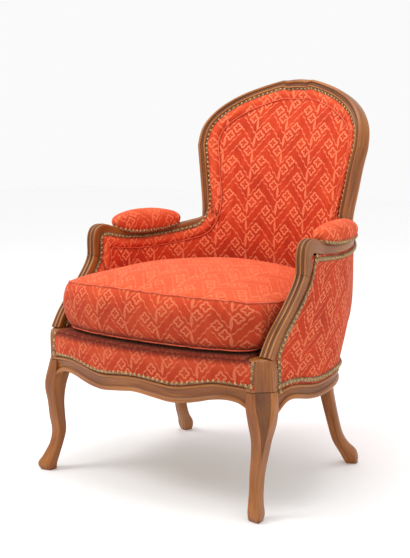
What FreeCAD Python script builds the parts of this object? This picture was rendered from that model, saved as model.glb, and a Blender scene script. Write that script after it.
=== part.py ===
import FreeCAD, Part
import Sketcher
import math
import os

Vector = FreeCAD.Vector

# The chair stands on the floor, Z is up, the front faces -Y, and X runs to the
# right of someone who looks at the front. Left and right in the names are the
# same viewer's left and right. All sizes are millimetres.
SIZES = (
    ("total_height", 950, "floor to the crown of the crest"),
    ("plan_shift", -22.1, "moves the seat datum to the middle of the plan"),
    ("rail_bottom", 235, "floor to the underside of the seat rails"),
    ("rail_top", 300, "floor to the top of the seat rails"),
    ("leg_top", 275, "floor to the joint of front leg and arm support"),
    ("arm_level", 573, "floor to the top of the arm rail in front of its pad"),
    ("front_half", 302, "half the spread of the front leg blocks"),
    ("front_line", -262, "middle of the front leg blocks, along Y"),
    ("block_side", 50, "side of the square leg block"),
    ("block_face", 48, "width of the flat diagonal face of the block"),
    ("front_bow", 40, "bow of the front rail in plan"),
    ("front_rail_thick", 32, "front rail, front to back"),
    ("side_rail_thick", 28, "side rail, outside to inside"),
    ("side_bow_front", 338, "half width of the seat at its widest"),
    ("rear_half", 230, "half the spread of the rear legs at the seat rail"),
    ("rear_line", 118, "rear legs at the seat rail, along Y"),
    ("rear_foot_half", 263, "half the spread of the rear feet"),
    ("rear_foot_line", 204, "rear feet, along Y"),
    ("back_half", 240, "half the width of the back at its shoulders"),
    ("waist_half", 212, "half the width of the back where the arms join it"),
    ("back_hollow", 48, "hollow of the back in plan"),
    ("back_lean_arm", 227, "rake line where the arms join, along Y"),
    ("back_lean_top", 310, "rake line at the crown, along Y"),
    ("frame_width", 28, "moulded frame of the back, across its face"),
    ("frame_depth", 36, "moulded frame of the back, front to back"),
    ("rebate_width", 6, "ledge of the frame that the cover is nailed to"),
    ("rebate_depth", 8, "depth of that ledge below the moulding"),
    ("rear_leg_side", 28, "rear leg, thickness at its ankle"),
    ("support_width", 28, "arm support, across"),
    ("support_depth", 30, "arm support, front to back"),
    ("arm_half", 309, "half the spread of the arm fronts"),
    ("arm_front", -122, "front of the arms, along Y"),
    ("arm_rail_height", 26, "arm rail, top to bottom"),
    ("pad_length", 208, "arm pad, front to back"),
    ("pad_base", 42, "arm pad, width where it meets the wood"),
    ("pad_height", 52, "arm pad, height above the wood"),
    ("cover_thick", 2.4, "cover cloth with its wadding"),
    ("soft_gap", 0.3, "clearance round soft pieces"),
    ("cushion_thick", 118, "seat cushion, at its boxed edge"),
    ("cushion_crown", 30, "rise of the cushion at its middle"),
    ("seat_level", 347.5, "floor to the top of the seat platform"),
    ("web_width", 50, "width of a webbing band"),
    ("web_thick", 2, "thickness of a webbing band"),
    ("web_level", 250, "floor to the ledge that the webbing is nailed to"),
    ("spring_radius", 34, "seat spring, end coils"),
    ("spring_waist", 24, "seat spring, middle coil"),
    ("spring_wire", 3.6, "seat spring, wire"),
    ("spring_turns", 3, "seat spring, turns"),
    ("spring_crown", 318, "floor to the top of the seat springs"),
    ("spring_pitch", 128, "seat springs, centre to centre"),
    ("screw_radius", 2.5, "corner block screw, shank"),
    ("screw_length", 46, "corner block screw, length"),
    ("peg_radius", 3.5, "joint peg"),
    ("peg_length", 30, "joint peg, length"),
    ("bore_gap", 0.05, "clearance round pegs and screws"),
    ("hessian_thick", 1.2, "thickness of the hessian"),
    ("cushion_clear", 8, "clearance of the cushion where it slides out between the supports"),
    ("side_gap", 3.4, "clearance of the cushion beside the padded arms"),
)

document = FreeCAD.newDocument("bergere_chair")
sheet = document.addObject("Spreadsheet::Sheet", "Sizes")
for row, (alias, value, note) in enumerate(SIZES, start=1):
    sheet.set("A%d" % row, alias)
    sheet.set("B%d" % row, str(value))
    sheet.setAlias("B%d" % row, alias)
    sheet.set("C%d" % row, note)
document.recompute()

nodes = {}


def size(alias):
    """A driving dimension, read from the sheet."""
    return float(sheet.get(alias))


def placed(thing, label):
    """Names a sub-part and sets it on the shared datum."""
    thing.Label = label
    thing.Placement = FreeCAD.Placement(
        Vector(0, size("plan_shift"), 0), FreeCAD.Rotation()
    )
    nodes[label] = thing
    return thing


def feature(label, shape):
    """A sub-part whose form is worked out from the sheet."""
    thing = document.addObject("Part::Feature", label)
    thing.Shape = shape
    return placed(thing, label)


def largest(shape):
    """What is left of a piece when its waste is cut off."""
    return max(shape.Solids, key=lambda piece: piece.Volume)


def fitted(shape, *walls):
    """A piece cut back to the faces of the pieces that it lies against."""
    for wall in walls:
        if shape.BoundBox.intersect(wall.BoundBox):
            shape = shape.cut(wall)
    return largest(shape)


def mirrored(shape):
    return shape.mirror(Vector(0, 0, 0), Vector(1, 0, 0))


def pair(label, shape):
    """The same piece on both sides of the chair."""
    feature(label + "_right", shape)
    feature(label + "_left", mirrored(shape))


def spline(points):
    curve = Part.BSplineCurve()
    curve.interpolate(points)
    return curve


def graph(points):
    """A smooth function through points that stand in rising order."""
    curve = spline([Vector(u, v, 0) for u, v in points])

    def value(u):
        low, high = curve.FirstParameter, curve.LastParameter
        for _ in range(36):
            middle = (low + high) / 2
            if curve.value(middle).x < u:
                low = middle
            else:
                high = middle
        return curve.value((low + high) / 2).y

    return value


def mix(start, end, share):
    return start + (end - start) * share


class Station:
    """A cross-section plane: side points outward, face to the moulded side."""

    def __init__(self, centre, along, side):
        self.centre = centre
        self.along = Vector(along)
        self.along.normalize()
        self.face = Vector(side).cross(self.along)
        self.face.normalize()
        self.side = self.along.cross(self.face)
        self.side.normalize()

    def point(self, a, b):
        return self.centre + self.side * a + self.face * b


def ring_of(outline, to_point):
    """The corners of a section, set in space."""
    return [to_point(*corner) for corner in outline]


def polygon_face(points):
    return Part.Face(Part.makePolygon(points + points[:1]))


def closed_solid(faces):
    skin = Part.makeCompound(faces)
    skin.sewShape(0.001)
    solid = Part.makeSolid(skin.Shells[0])
    if solid.Volume < 0:
        solid.reverse()
    return solid


def patch(p, q, r, t):
    """Two flat faces between four points."""
    return [polygon_face([p, q, r]), polygon_face([p, r, t])]


def loft(rings):
    """A closed solid with flat facets through the rings of points."""
    faces = [polygon_face(rings[0]), polygon_face(rings[-1])]
    count = len(rings[0])
    for near, far in zip(rings, rings[1:]):
        for k in range(count):
            after = (k + 1) % count
            faces += patch(near[k], near[after], far[after], far[k])
    return closed_solid(faces)


def frame_profile(width, depth, moulding):
    """Front: nail ledge, bead, cove and outer bead. Moulding goes from 0 to 1."""
    w, d = width / 2, depth / 2
    ledge = size("rebate_depth") * moulding
    step = size("rebate_width")
    cove = 5 * moulding
    bead = 2.5 * moulding
    return [
        (-w, -d),
        (-w, d - ledge),
        (-w + step, d - ledge),
        (-w + step, d - bead),
        (-w + step + 2.4, d),
        (-w + step + 5.2, d - bead),
        (1, d - cove - 1),
        (w - 9, d - bead),
        (w - 5, d - 0.4),
        (w - 1.6, d - 4),
        (w, d - 11),
        (w, -d + 6),
        (w - 5, -d),
    ]


def support_profile(width, depth):
    """Front: two flutes between three beads."""
    w, d = width / 2, depth / 2
    flute = w * 0.28
    return [
        (-w, -d + 3),
        (-w, d - 6),
        (-w + 1.8, d - 1.6),
        (-w + 5, d - 0.6),
        (-w + 5 + flute, d - 4),
        (-1.8, d - 0.4),
        (1.8, d - 0.4),
        (w - 5 - flute, d - 4),
        (w - 5, d - 0.6),
        (w - 1.8, d - 1.6),
        (w, d - 6),
        (w, -d + 3),
        (w - 3, -d),
        (-w + 3, -d),
    ]


def height_above_arm(share):
    """A level of the back, as a share of its height above the arms."""
    return mix(size("arm_level"), size("total_height"), share)


# The rake line is the plan position of the back at its shoulders, by height.
# Below the arms it swings forward to the rear legs.
def rake_points():
    rail, arm = size("rail_bottom"), size("arm_level")
    rear, lean = size("rear_line"), size("back_lean_arm")
    crown = size("back_lean_top")
    low = [(0.0, 0.0), (0.115, 0.11), (0.22, 0.35), (0.385, 0.70), (0.60, 0.88), (0.90, 0.95)]
    high = [(0.10, 0.0), (0.265, 0.12), (0.44, 0.235), (0.56, 0.35), (0.76, 0.64), (0.96, 1.0)]
    points = [(mix(rail, arm, f), mix(rear, lean, g)) for f, g in low]
    points += [(height_above_arm(f), mix(lean, crown, g)) for f, g in high]
    return points


rake = graph(rake_points())


def back_point(x, height):
    """A point of the hollow middle surface of the back."""
    hollow = size("back_hollow") * (1 - (x / size("back_half")) ** 2)
    return Vector(x, rake(height) + hollow, height)


def back_normal(x, height):
    """Towards the sitter."""
    step = 1.0
    across = back_point(x + step, height) - back_point(x - step, height)
    upward = back_point(x, height + step) - back_point(x, height - step)
    normal = across.cross(upward)
    normal.normalize()
    return normal if normal.y < 0 else normal * -1


def stile_points():
    """The middle line of the right rear leg and stile, foot to shoulder."""
    rail, arm = size("rail_bottom"), size("arm_level")
    foot_x, foot_y = size("rear_foot_half"), size("rear_foot_line")
    rail_x, rail_y = size("rear_half"), size("rear_line")
    waist = size("waist_half")
    leg = [(0.0, 0.0), (0.08, 0.07), (0.16, 0.23), (0.24, 0.40), (0.32, 0.53), (0.42, 0.63)]
    leg += [(0.56, 0.74), (0.74, 0.87)]
    points = [
        Vector(mix(foot_x, rail_x, g), mix(foot_y, rail_y, g), rail * f) for f, g in leg
    ]
    for share, g in [(0.0, 0.0), (0.22, 0.2), (0.40, 0.4), (0.62, 0.66), (0.90, 0.95)]:
        points.append(back_point(mix(rail_x, waist, g), mix(rail, arm, share)))
    shoulder = size("back_half")
    crown = size("total_height") - size("frame_width") / 2
    for share, g in [(0.10, 0.0), (0.27, 0.33), (0.42, 0.64), (0.56, 1.0)]:
        points.append(back_point(mix(waist, shoulder, g), mix(arm, crown, share)))
    return points


def crest_points():
    """The middle line of the crest, right shoulder to left shoulder."""
    half = size("back_half")
    drop = size("frame_width") / 2
    right = [(0.56, 1.0), (0.67, 0.985), (0.785, 0.88), (0.885, 0.672), (0.965, 0.355)]
    crown = size("total_height") - drop
    points = [back_point(half * g, mix(size("arm_level"), crown, f)) for f, g in right]
    left = [back_point(-p.x, p.z) for p in reversed(points)]
    return points + [back_point(0, crown)] + left


def back_station(curve, parameter):
    centre = curve.value(parameter)
    along = curve.tangent(parameter)[0]
    normal = back_normal(centre.x, centre.z)
    side = along.cross(normal)
    return Station(centre, along, side)


leg_swell = graph(
    [(0, 0.92), (0.05, 1.08), (0.10, 1.14), (0.18, 0.98), (0.32, 0.94), (0.6, 1), (1, 1.17), (1.2, 1.19)]
)


def stile():
    """Rear leg and back stile, sawn in one piece; the leg ends in a rounded foot."""
    curve = spline(stile_points())
    first, last = curve.FirstParameter, curve.LastParameter
    rail = size("rail_bottom")
    wires = []
    count = 22
    for k in range(count + 1):
        parameter = mix(first, last, (k / count) ** 1.4)
        here = curve.value(parameter)
        if here.z < rail + 20:
            along = curve.tangent(parameter)[0]
            turn = Vector(0.94, 0.34, 0)
            place = Station(here, along, turn)
            wide = size("rear_leg_side") * leg_swell(here.z / rail)
            wires.append((place, wide, wide, 0.12))
        else:
            place = back_station(curve, parameter)
            full = min(1, (here.z - rail - 20) / 60)
            wide = mix(size("rear_leg_side") * leg_swell(1.08), size("frame_width"), full)
            deep = mix(size("rear_leg_side") * leg_swell(1.08), size("frame_depth"), full)
            wires.append((place, wide, deep, mix(0.12, 1, full)))
    level = wires[0][0]
    level.along = Vector(0, 0, 1)
    level.side = Vector(0.94, 0.34, 0)
    level.side.normalize()
    level.face = level.side.cross(level.along)
    rings = [ring_of(frame_profile(w, d, m), s.point) for s, w, d, m in wires[:-1]]
    joint = back_station(crest_curve, crest_curve.FirstParameter)
    profile = frame_profile(size("frame_width"), size("frame_depth"), 1)
    return loft(rings + [ring_of(profile, joint.point)])


def crest():
    curve = spline(crest_points())
    wires = []
    count = 20
    for k in range(count + 1):
        place = back_station(curve, mix(curve.FirstParameter, curve.LastParameter, k / count))
        profile = frame_profile(size("frame_width"), size("frame_depth"), 1)
        wires.append(ring_of(profile, place.point))
    return loft(wires)


def inner_corner():
    """The corner of the leg block that both rails are tenoned into."""
    half = size("block_side") / 2
    return Vector(size("front_half") - half, size("front_line") + half, 0)


def leg_ring(height, reach, set_in, side, face, kick, sink):
    """Leg section: a square set cornerwise, with a flat or arris on its corner.

    reach is the distance of its inner corner from the block's inner corner,
    and set_in is how far the section stands towards the front.
    """
    h = side / math.sqrt(2)
    out = Vector(1, -1, 0)
    out.normalize()
    across = Vector(1, 1, 0)
    across.normalize()
    middle = inner_corner() + out * (reach + h) - across * set_in + Vector(0, 0, height)
    g = face / 2
    flat = (h + kick) * (1 - g / h)
    corners = [
        (-h, 0),
        (0, -h),
        (flat, -g),
        (flat, -0.72 * g),
        (flat - sink, -0.6 * g),
        (flat - sink, 0.6 * g),
        (flat, 0.72 * g),
        (flat, g),
        (0, h),
    ]
    return [middle + out * p + across * q for p, q in corners]


def front_leg():
    """Cabriole leg: knee, ankle and toe, with a sunk panel that runs out below the knee."""
    rail, top = size("rail_bottom"), size("leg_top")
    side, face = size("block_side"), size("block_face")
    shape = [
        (0.0, 37, 15, 24, 7, 9, 0.2),
        (0.05, 36, 15, 28, 6, 12, 0.2),
        (0.15, 29, 14, 26, 4, 7, 0.2),
        (0.27, 20, 11, 25, 4, 1, 0.2),
        (0.40, 12.5, 8, 26.5, 4, 0, 0.2),
        (0.56, 14, 4, 29.5, 5, 0, 0.2),
        (0.73, 15, 1, 35, 14, 0, 1.2),
        (0.88, 10, 0, 46, 29, 4, 2.0),
    ]
    shape = [(rail * f, *rest) for f, *rest in shape]
    shape.append((mix(rail, top, 0.2), 0, 0, side + 3, face - 1, 10, 2.2))
    shape.append((top, 0, 0, side, face, 0, 2.2))
    columns = [graph([(row[0], row[k]) for row in shape]) for k in range(1, 7)]
    wires = [leg_ring(*shape[0])]
    count = 15
    for k in range(1, count):
        height = top * (k / count) ** 1.12
        wires.append(leg_ring(height, *[column(height) for column in columns]))
    wires.append(leg_ring(*shape[-1]))
    return loft(wires)


def arm_points():
    """Middle line of the right arm support and arm rail, block to stile."""
    corner = inner_corner()
    half, front, level = size("arm_half"), size("arm_front"), size("arm_level")
    base = size("rail_top") + 42
    centre = level - size("arm_rail_height") / 2
    foot_y = front - 126
    rise = [(0.0, 0.0, 0.0), (0.17, 0.19, 0.17), (0.37, 0.53, 0.42), (0.59, 0.88, 0.60), (0.80, 1.09, 0.72)]
    points = [
        Vector(mix(corner.x + 28, half, g), mix(foot_y, front - 2, f), mix(base, centre - 8, u))
        for u, f, g in rise
    ]
    points += [
        Vector(half - 1, front + 13, centre - 8),
        Vector(half - 1, front + 19, centre + 5),
        Vector(half - 2, front + 33, centre + 10.5),
        Vector(half - 4, front + 52, centre + 8),
        Vector(half - 8, front + 80, centre + 0.5),
        Vector(half - 11, front + 118, centre - 6),
        Vector(half - 15, front + 166, centre - 8.5),
        Vector(half - 22, front + 214, centre - 7),
        Vector(half - 34, front + 258, centre - 3),
        Vector(half - 54, front + 298, centre + 3),
        Vector(half - 78, front + 331, centre + 12),
        Vector(half - 100, front + 354, centre + 27),
    ]
    end = centre + 52
    return points + [back_point(size("waist_half"), end) - back_normal(size("waist_half"), end) * 5]


arm_curve = spline(arm_points())


def arm_parameter(share):
    return mix(arm_curve.FirstParameter, arm_curve.LastParameter, share)


def arm_station(share):
    parameter = arm_parameter(share)
    centre = arm_curve.value(parameter)
    along = arm_curve.tangent(parameter)[0]
    plan = Vector(along.y, -along.x, 0)
    lean = min(1, max(0, (share - 0.55) / 0.4))
    side = Vector(1, 0.05, 0) * (1 - lean)
    if plan.Length > 0:
        plan.normalize()
        side = side + plan * lean
    return Station(centre, along, side)


def arm_share_at(level):
    """Where the support passes a level on its way up."""
    low, high = 0.0, 0.45
    for _ in range(30):
        middle = (low + high) / 2
        if arm_curve.value(arm_parameter(middle)).z < level:
            low = middle
        else:
            high = middle
    return low


def arm_loft(start, end, count):
    wires = []
    for k in range(count + 1):
        share = mix(start, end, k / count)
        width, depth = size("support_width"), size("support_depth")
        rail = min(1, max(0, (share - 0.5) / 0.15))
        depth = mix(depth, size("arm_rail_height"), rail)
        scroll = max(0, 1 - abs(share - arm_joint() - 0.09) / 0.08)
        depth += 7 * scroll
        wires.append(ring_of(support_profile(width, depth), arm_station(share).point))
    return loft(wires)


def arm_joint():
    return arm_share_at(size("arm_level") - 66)


def arm_support():
    """Block on the leg, then the fluted support that sweeps up and back."""
    top, base = size("leg_top"), size("rail_top") + 42
    side, face = size("block_side"), size("block_face")
    block = loft(
        [
            leg_ring(top, 0, 0, side, face, 0, 0.8),
            leg_ring(mix(top, base, 0.5), 0, 0, side - 1, face - 4, 0, 0.8),
            leg_ring(size("seat_level") - 2, 0, 0, side - 5, face - 14, 0, 0.4),
        ]
    )
    sweep = arm_loft(0.0, arm_joint(), 10)
    return block.fuse(sweep).removeSplitter()


def arm_rail(post):
    """Scrolled front, rail under the pad and the sweep that rises into the stile."""
    return largest(arm_loft(arm_joint(), 1.0, 17).cut(post))


def front_face(x):
    """Outer face of the front rail, in plan."""
    corner = inner_corner()
    edge = corner.y - size("block_side") + 1
    return edge - size("front_bow") * (1 - (x / corner.x) ** 2)


def front_edge(x):
    """Lower edge of the front rail: two lobes, then an arc down into each leg."""
    share = abs(x) / inner_corner().x
    return size("rail_bottom") + graph_edge(share)


graph_edge = graph(
    [(-0.2, 3), (0, 8), (0.2, 2.5), (0.37, -2), (0.5, 1.5), (0.6, 7), (0.7, 14), (0.8, 17.8)]
    + [(0.88, 16.8), (0.94, 13), (1, 3), (1.1, -20)]
)
graph_nail = graph(
    [(-0.1, 4), (0, 5), (0.1, 4), (0.25, 0), (0.35, -2.5), (0.45, -0.5), (0.55, 4.5), (0.65, 10)]
    + [(0.75, 14), (0.85, 13.6), (0.95, 11.5), (1.1, 7)]
)


def nail_level(x):
    """Where the cover ends on the front rail."""
    return size("rail_bottom") + 38 + graph_nail(abs(x) / inner_corner().x)


def rail_outline(low, nail, thick, ledge):
    """Section of a seat rail; a is depth from the outer face, b is height."""
    top = size("rail_top")
    return [
        (thick, top),
        (4, top),
        (4, nail),
        (0, nail),
        (-1.2, nail - 3.5),
        (1, nail - 7),
        (4.2, mix(low, nail, 0.55)),
        (1.4, low + 10),
        (-1.4, low + 6),
        (-0.6, low + 2),
        (3, low),
        (thick - 13, low),
        (thick - 13, max(low + 1, ledge)),
        (thick, max(low + 1, ledge)),
    ]


FRONT_STEPS = 22


def front_places(reach):
    """Places along X for the sections of the front rail and its band, closer near the legs."""
    shares = [2 * k / FRONT_STEPS - 1 for k in range(FRONT_STEPS + 1)]
    return [reach * share * (1.25 - 0.25 * share ** 2) for share in shares]


def front_rail():
    corner = inner_corner()
    wires = []
    for x in front_places(corner.x):
        outline = rail_outline(
            front_edge(x), nail_level(x), size("front_rail_thick"), size("web_level")
        )
        wires.append(ring_of(outline, lambda a, b: Vector(x, front_face(x) + a, b)))
    return loft(wires)


def side_points():
    """Outer face of the right seat rail, in plan, leg block to rear leg."""
    corner = inner_corner()
    start_x = corner.x + size("block_side") - 1
    wide = size("side_bow_front")
    rear_x, rear_y = size("rear_half") + 9, size("rear_line") + 4
    return [
        Vector(start_x, corner.y, 0),
        Vector(mix(start_x, wide, 0.85), mix(corner.y, rear_y, 0.26), 0),
        Vector(wide, mix(corner.y, rear_y, 0.47), 0),
        Vector(wide - 11, mix(corner.y, rear_y, 0.68), 0),
        Vector(mix(wide, rear_x, 0.48), mix(corner.y, rear_y, 0.86), 0),
        Vector(rear_x, rear_y, 0),
    ]


side_curve = spline(side_points())
side_edge = graph(
    [(-0.05, -24), (0, -11), (0.03, -2), (0.06, 6), (0.1, 11.5), (0.14, 12.6), (0.2, 9), (0.27, 3.5)]
    + [(0.36, 0), (0.46, 2), (0.56, 7), (0.68, 12), (0.8, 14), (0.92, 12), (1.1, 8)]
)
side_nail = graph(
    [(-0.05, 33), (0, 36), (0.055, 41), (0.1, 44), (0.175, 43), (0.26, 37.5), (0.35, 33.5)]
    + [(0.43, 34.3), (0.53, 38), (0.65, 41), (0.8, 42), (1.1, 40)]
)
SIDE_STEPS = 8
SIDE_SHARES = [k / SIDE_STEPS for k in range(SIDE_STEPS + 1)]


def side_rail(walls):
    """Side rail, bowed in plan, with an arc down into the front leg."""
    wires = []
    for share in sorted(SIDE_SHARES + [0.025, 0.05, 0.085, 0.19, 0.31]):
        parameter = mix(side_curve.FirstParameter, side_curve.LastParameter, share)
        outer = side_curve.value(parameter)
        along = side_curve.tangent(parameter)[0]
        if share == 0:
            along = Vector(0, 1, 0)
        inward = Vector(-along.y, along.x, 0)
        low = size("rail_bottom") + side_edge(share)
        nail = size("rail_bottom") + side_nail(share)
        outline = rail_outline(low, nail, size("side_rail_thick"), size("web_level") - size("web_thick"))
        wires.append(ring_of(outline, lambda a, b: outer + inward * a + Vector(0, 0, b)))
    return fitted(loft(wires), *walls)


def sweep_share(height):
    """How far the sides have flared from the seat rail to the arms, at a height."""
    start = rake(size("rail_top"))
    reach = rake(under_arm()) - start
    return max(0, rake(min(height, under_arm())) - start) / reach


arm_rear_start = 0.52
arm_rear_end = 0.95


def under_arm():
    """Lowest part of the underside of the arm rail."""
    return size("arm_level") - size("arm_rail_height") - 9


def arm_underside(share):
    """Underside of the arm rail above the closed side, support to stile."""
    station = arm_station(mix(arm_rear_start, arm_rear_end, share))
    return station.point(0, -size("arm_rail_height") / 2).z - size("soft_gap")


def side_point(share, height, inset):
    """A point of the closed side, share 0 at the support and 1 at the stile."""
    place = mix(side_curve.FirstParameter, side_curve.LastParameter, share)
    low = side_curve.value(place)
    low_along = side_curve.tangent(place)[0]
    parameter = arm_parameter(mix(arm_rear_start, arm_rear_end, share))
    high = arm_curve.value(parameter)
    high_along = arm_curve.tangent(parameter)[0]
    inward_low = Vector(-low_along.y, low_along.x, 0)
    inward_high = Vector(-high_along.y, high_along.x, 0)
    inward_high.normalize()
    base = size("rail_top") + 42
    if height > base:
        support = arm_curve.value(arm_parameter(arm_share_at(height)))
        front_y = support.y + size("support_depth") / 2 + 1
    else:
        front_y = inner_corner().y
    low_start = inner_corner().y
    high_start = arm_curve.value(arm_parameter(arm_rear_start)).y
    front_share = (front_y - low_start) / (high_start - low_start)
    flare = mix(max(0, front_share), sweep_share(height), min(1, share * 1.1))
    inward = inward_low * (1 - flare) + inward_high * flare
    inward.normalize()
    outer_high = Vector(high.x, high.y, 0) - inward_high * 11
    point = low + (outer_high - low) * flare + inward * inset
    if share == 0:
        point = Vector(point.x, front_y + size("soft_gap"), 0)
    return Vector(point.x, point.y, height)


def slab(front, back):
    """A closed solid between two grids of points, row by row."""
    rows, columns = len(front), len(front[0])
    faces = []
    for i in range(rows - 1):
        for j in range(columns - 1):
            for grid in (front, back):
                faces += patch(grid[i][j], grid[i][j + 1], grid[i + 1][j + 1], grid[i + 1][j])
    for i in range(rows - 1):
        for j in (0, columns - 1):
            faces += patch(front[i][j], front[i + 1][j], back[i + 1][j], back[i][j])
    for j in range(columns - 1):
        for i in (0, rows - 1):
            faces += patch(front[i][j], front[i][j + 1], back[i][j + 1], back[i][j])
    return closed_solid(faces)


def side_slab(bottom, near, far):
    """A layer of the closed side, from its bottom edge up to the arm rail.

    bottom is a level for each share along the side. near and far are insets
    that may vary with that share and with the rise from the bottom to the arm.
    """
    grids = []
    for inset in (near, far):
        grid = []
        for k in range(6):
            rise = k / 5
            row = []
            for share in SIDE_SHARES:
                top = arm_underside(share) + 3 + 11 * max(0, 1 - 4 * share)
                height = mix(bottom(share), top, rise)
                row.append(side_point(share, height, inset(share, rise)))
            grid.append(row)
        grids.append(grid)
    return slab(*grids)


def padding(share, rise):
    """Inset of the inside arm cover: nailed to the rail above, fuller below."""
    return 24 + 17 * math.sin(math.pi * min(1, 0.35 + 0.65 * rise)) ** 0.7 if rise < 1 else 24


def outside_arm_cover():
    thick = size("cover_thick")

    def outer(share, rise):
        """In the ledge of the rail, then out round the stile."""
        return 0.4 - 7 * max(0, (share - 0.6) / 0.4)

    def bottom(share):
        return size("rail_bottom") + side_nail(share) + 2 * size("soft_gap")

    return side_slab(bottom, outer, lambda s, r: outer(s, r) + thick)


def inside_arm_cover():
    base = size("rail_top") + size("soft_gap")
    return side_slab(lambda s: base, lambda s, r: padding(s, r) - size("cover_thick"), padding)


def inside_arm_stuffing():
    gap = size("soft_gap")
    base = size("rail_top") + gap
    return side_slab(
        lambda s: base,
        lambda s, r: 13,
        lambda s, r: padding(s, r) - size("cover_thick") - gap,
    )


stile_curve = spline(stile_points())
crest_curve = spline(crest_points())


def inner_half(height, inset):
    """Half width of the back inside the stiles, at a height below the shoulders."""
    low, high = stile_curve.FirstParameter, stile_curve.LastParameter
    for _ in range(30):
        middle = (low + high) / 2
        if stile_curve.value(middle).z < height:
            low = middle
        else:
            high = middle
    return stile_curve.value(low).x - inset


def arch_point(share, inset):
    """Where the inner edge of the crest lies; share runs from -1 to 1 across the back."""
    first, last = crest_curve.FirstParameter, crest_curve.LastParameter
    parameter = mix(first, last, (1 - share) / 2)
    centre = crest_curve.value(parameter)
    along = crest_curve.tangent(parameter)[0]
    outward = Vector(along.z, 0, -along.x)
    outward.normalize()
    if outward.x * centre.x + outward.z * 150 < 0:
        outward = outward * -1
    return centre - outward * inset


BACK_COLUMNS = 10
BACK_ROWS = 8


def back_grid(bottom, inset, depth):
    """Points of one layer of the back; depth is measured towards the sitter."""
    shoulder = crest_curve.value(crest_curve.FirstParameter)
    widest = shoulder.x - inset
    grid = []
    for i in range(BACK_ROWS + 1):
        row = []
        for j in range(BACK_COLUMNS + 1):
            across = 2 * j / BACK_COLUMNS - 1
            top = arch_point(across, inset)
            level = mix(bottom, top.z, i / BACK_ROWS)
            narrow = inner_half(min(level, shoulder.z), inset) / widest
            x = top.x * narrow
            rise = (level - bottom) / (size("total_height") - bottom)
            swell = (1 - across ** 2) * math.sin(math.pi * min(1, max(0, rise))) ** 0.6
            point = back_point(x, level)
            row.append(point + back_normal(x, level) * depth(swell))
        grid.append(row)
    return grid


def back_layer(bottom, inset, rear, front):
    return slab(back_grid(bottom, inset, front), back_grid(bottom, inset, rear))


def back_layers(frame):
    """Webbing, hessian, stuffing, cover and outside cover of the back, rear to front."""
    half = size("frame_width") / 2
    ledge = size("frame_depth") / 2 - size("rebate_depth")
    gap, thick = size("soft_gap"), size("cover_thick")
    inside = half + gap
    swell = 14
    base = size("rail_top") + gap
    hessian = fitted(back_layer(base, inside, lambda w: -1, lambda w: 0.4), *frame)
    feature("back_hessian", hessian)
    cover = back_layer(
        base,
        half - size("rebate_width") + 2 * gap,
        lambda w: ledge + 3 * gap + swell * w,
        lambda w: ledge + 3 * gap + thick + swell * w,
    )
    cover = fitted(cover, *frame)
    feature("inside_back_cover", cover)
    stuffing = back_layer(base, inside, lambda w: 0.7, lambda w: ledge - 2.5 + swell * w)
    stuffing = fitted(stuffing, *frame)
    feature("inside_back_stuffing", stuffing)
    rear = size("frame_depth") / 2
    outside = back_layer(base, half - 8, lambda w: -rear - gap - thick, lambda w: -rear - gap)
    outside = fitted(outside, *frame)
    feature("outside_back_cover", outside)
    lower = fitted(back_lower_rail(), *frame, outside, stuffing)
    feature("back_lower_rail", lower)
    bands = [fitted(band, *frame, hessian, stuffing) for band in back_bands()]
    feature("back_webbing", Part.makeCompound(bands))
    return cover, stuffing


def seat_plan(front_inset, side_inset, rear_inset):
    """Plan outline of the seat inside the rails, as sketch curves."""
    corner = inner_corner()
    gap = size("soft_gap")
    edge = corner.x - gap
    front = front_face(edge) + front_inset
    a, b = Vector(-edge, front, 0), Vector(edge, front, 0)
    middle = Vector(0, front_face(0) + front_inset, 0)
    c = Vector(edge, corner.y + gap, 0)

    def side(share):
        parameter = mix(side_curve.FirstParameter, side_curve.LastParameter, share)
        outer = side_curve.value(parameter)
        along = side_curve.tangent(parameter)[0]
        return outer + Vector(-along.y, along.x, 0) * side_inset

    run = [side(share) for share in SIDE_SHARES[:-1]]
    d = Vector(run[0].x, corner.y + gap, 0)
    run[0] = d
    f = run[-1]
    rear_y = size("rear_line") - rear_inset
    g = Vector(size("rear_half") - 46, rear_y, 0)
    h = Vector(0, rear_y + size("back_hollow") * 0.7, 0)
    right = [Part.LineSegment(b, c), Part.LineSegment(c, d)]
    right += [Part.LineSegment(p, q) for p, q in zip(run, run[1:])]
    right.append(Part.LineSegment(f, g))

    def flip(p):
        return Vector(-p.x, p.y, 0)

    left = [Part.LineSegment(flip(g), flip(f))]
    left += [Part.LineSegment(flip(q), flip(p)) for p, q in reversed(list(zip(run, run[1:])))]
    left += [Part.LineSegment(flip(d), flip(c)), Part.LineSegment(flip(c), a)]
    return [Part.ArcOfCircle(a, middle, b)] + right + [Part.ArcOfCircle(g, h, flip(g))] + left


def plane_of(body, role):
    return [f for f in body.Origin.OriginFeatures if f.Role == role][0]


def new_sketch(body, name, curves, level=None, role="XY_Plane"):
    sketch = body.newObject("Sketcher::SketchObject", name)
    sketch.AttachmentSupport = [(plane_of(body, role), "")]
    sketch.MapMode = "FlatFace"
    if level:
        sketch.setExpression("AttachmentOffset.Base.z", level)
    for curve in curves:
        sketch.addGeometry(curve, False)
    return sketch


def new_pad(body, sketch, name, length):
    pad = body.newObject("PartDesign::Pad", name)
    pad.Profile = sketch
    pad.setExpression("Length", length)
    return pad


def rectangle(x0, y0, x1, y1):
    corners = [Vector(x0, y0, 0), Vector(x1, y0, 0), Vector(x1, y1, 0), Vector(x0, y1, 0)]
    return [Part.LineSegment(corners[k], corners[(k + 1) % 4]) for k in range(4)]


def body_of(label):
    return document.addObject("PartDesign::Body", label)


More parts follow.
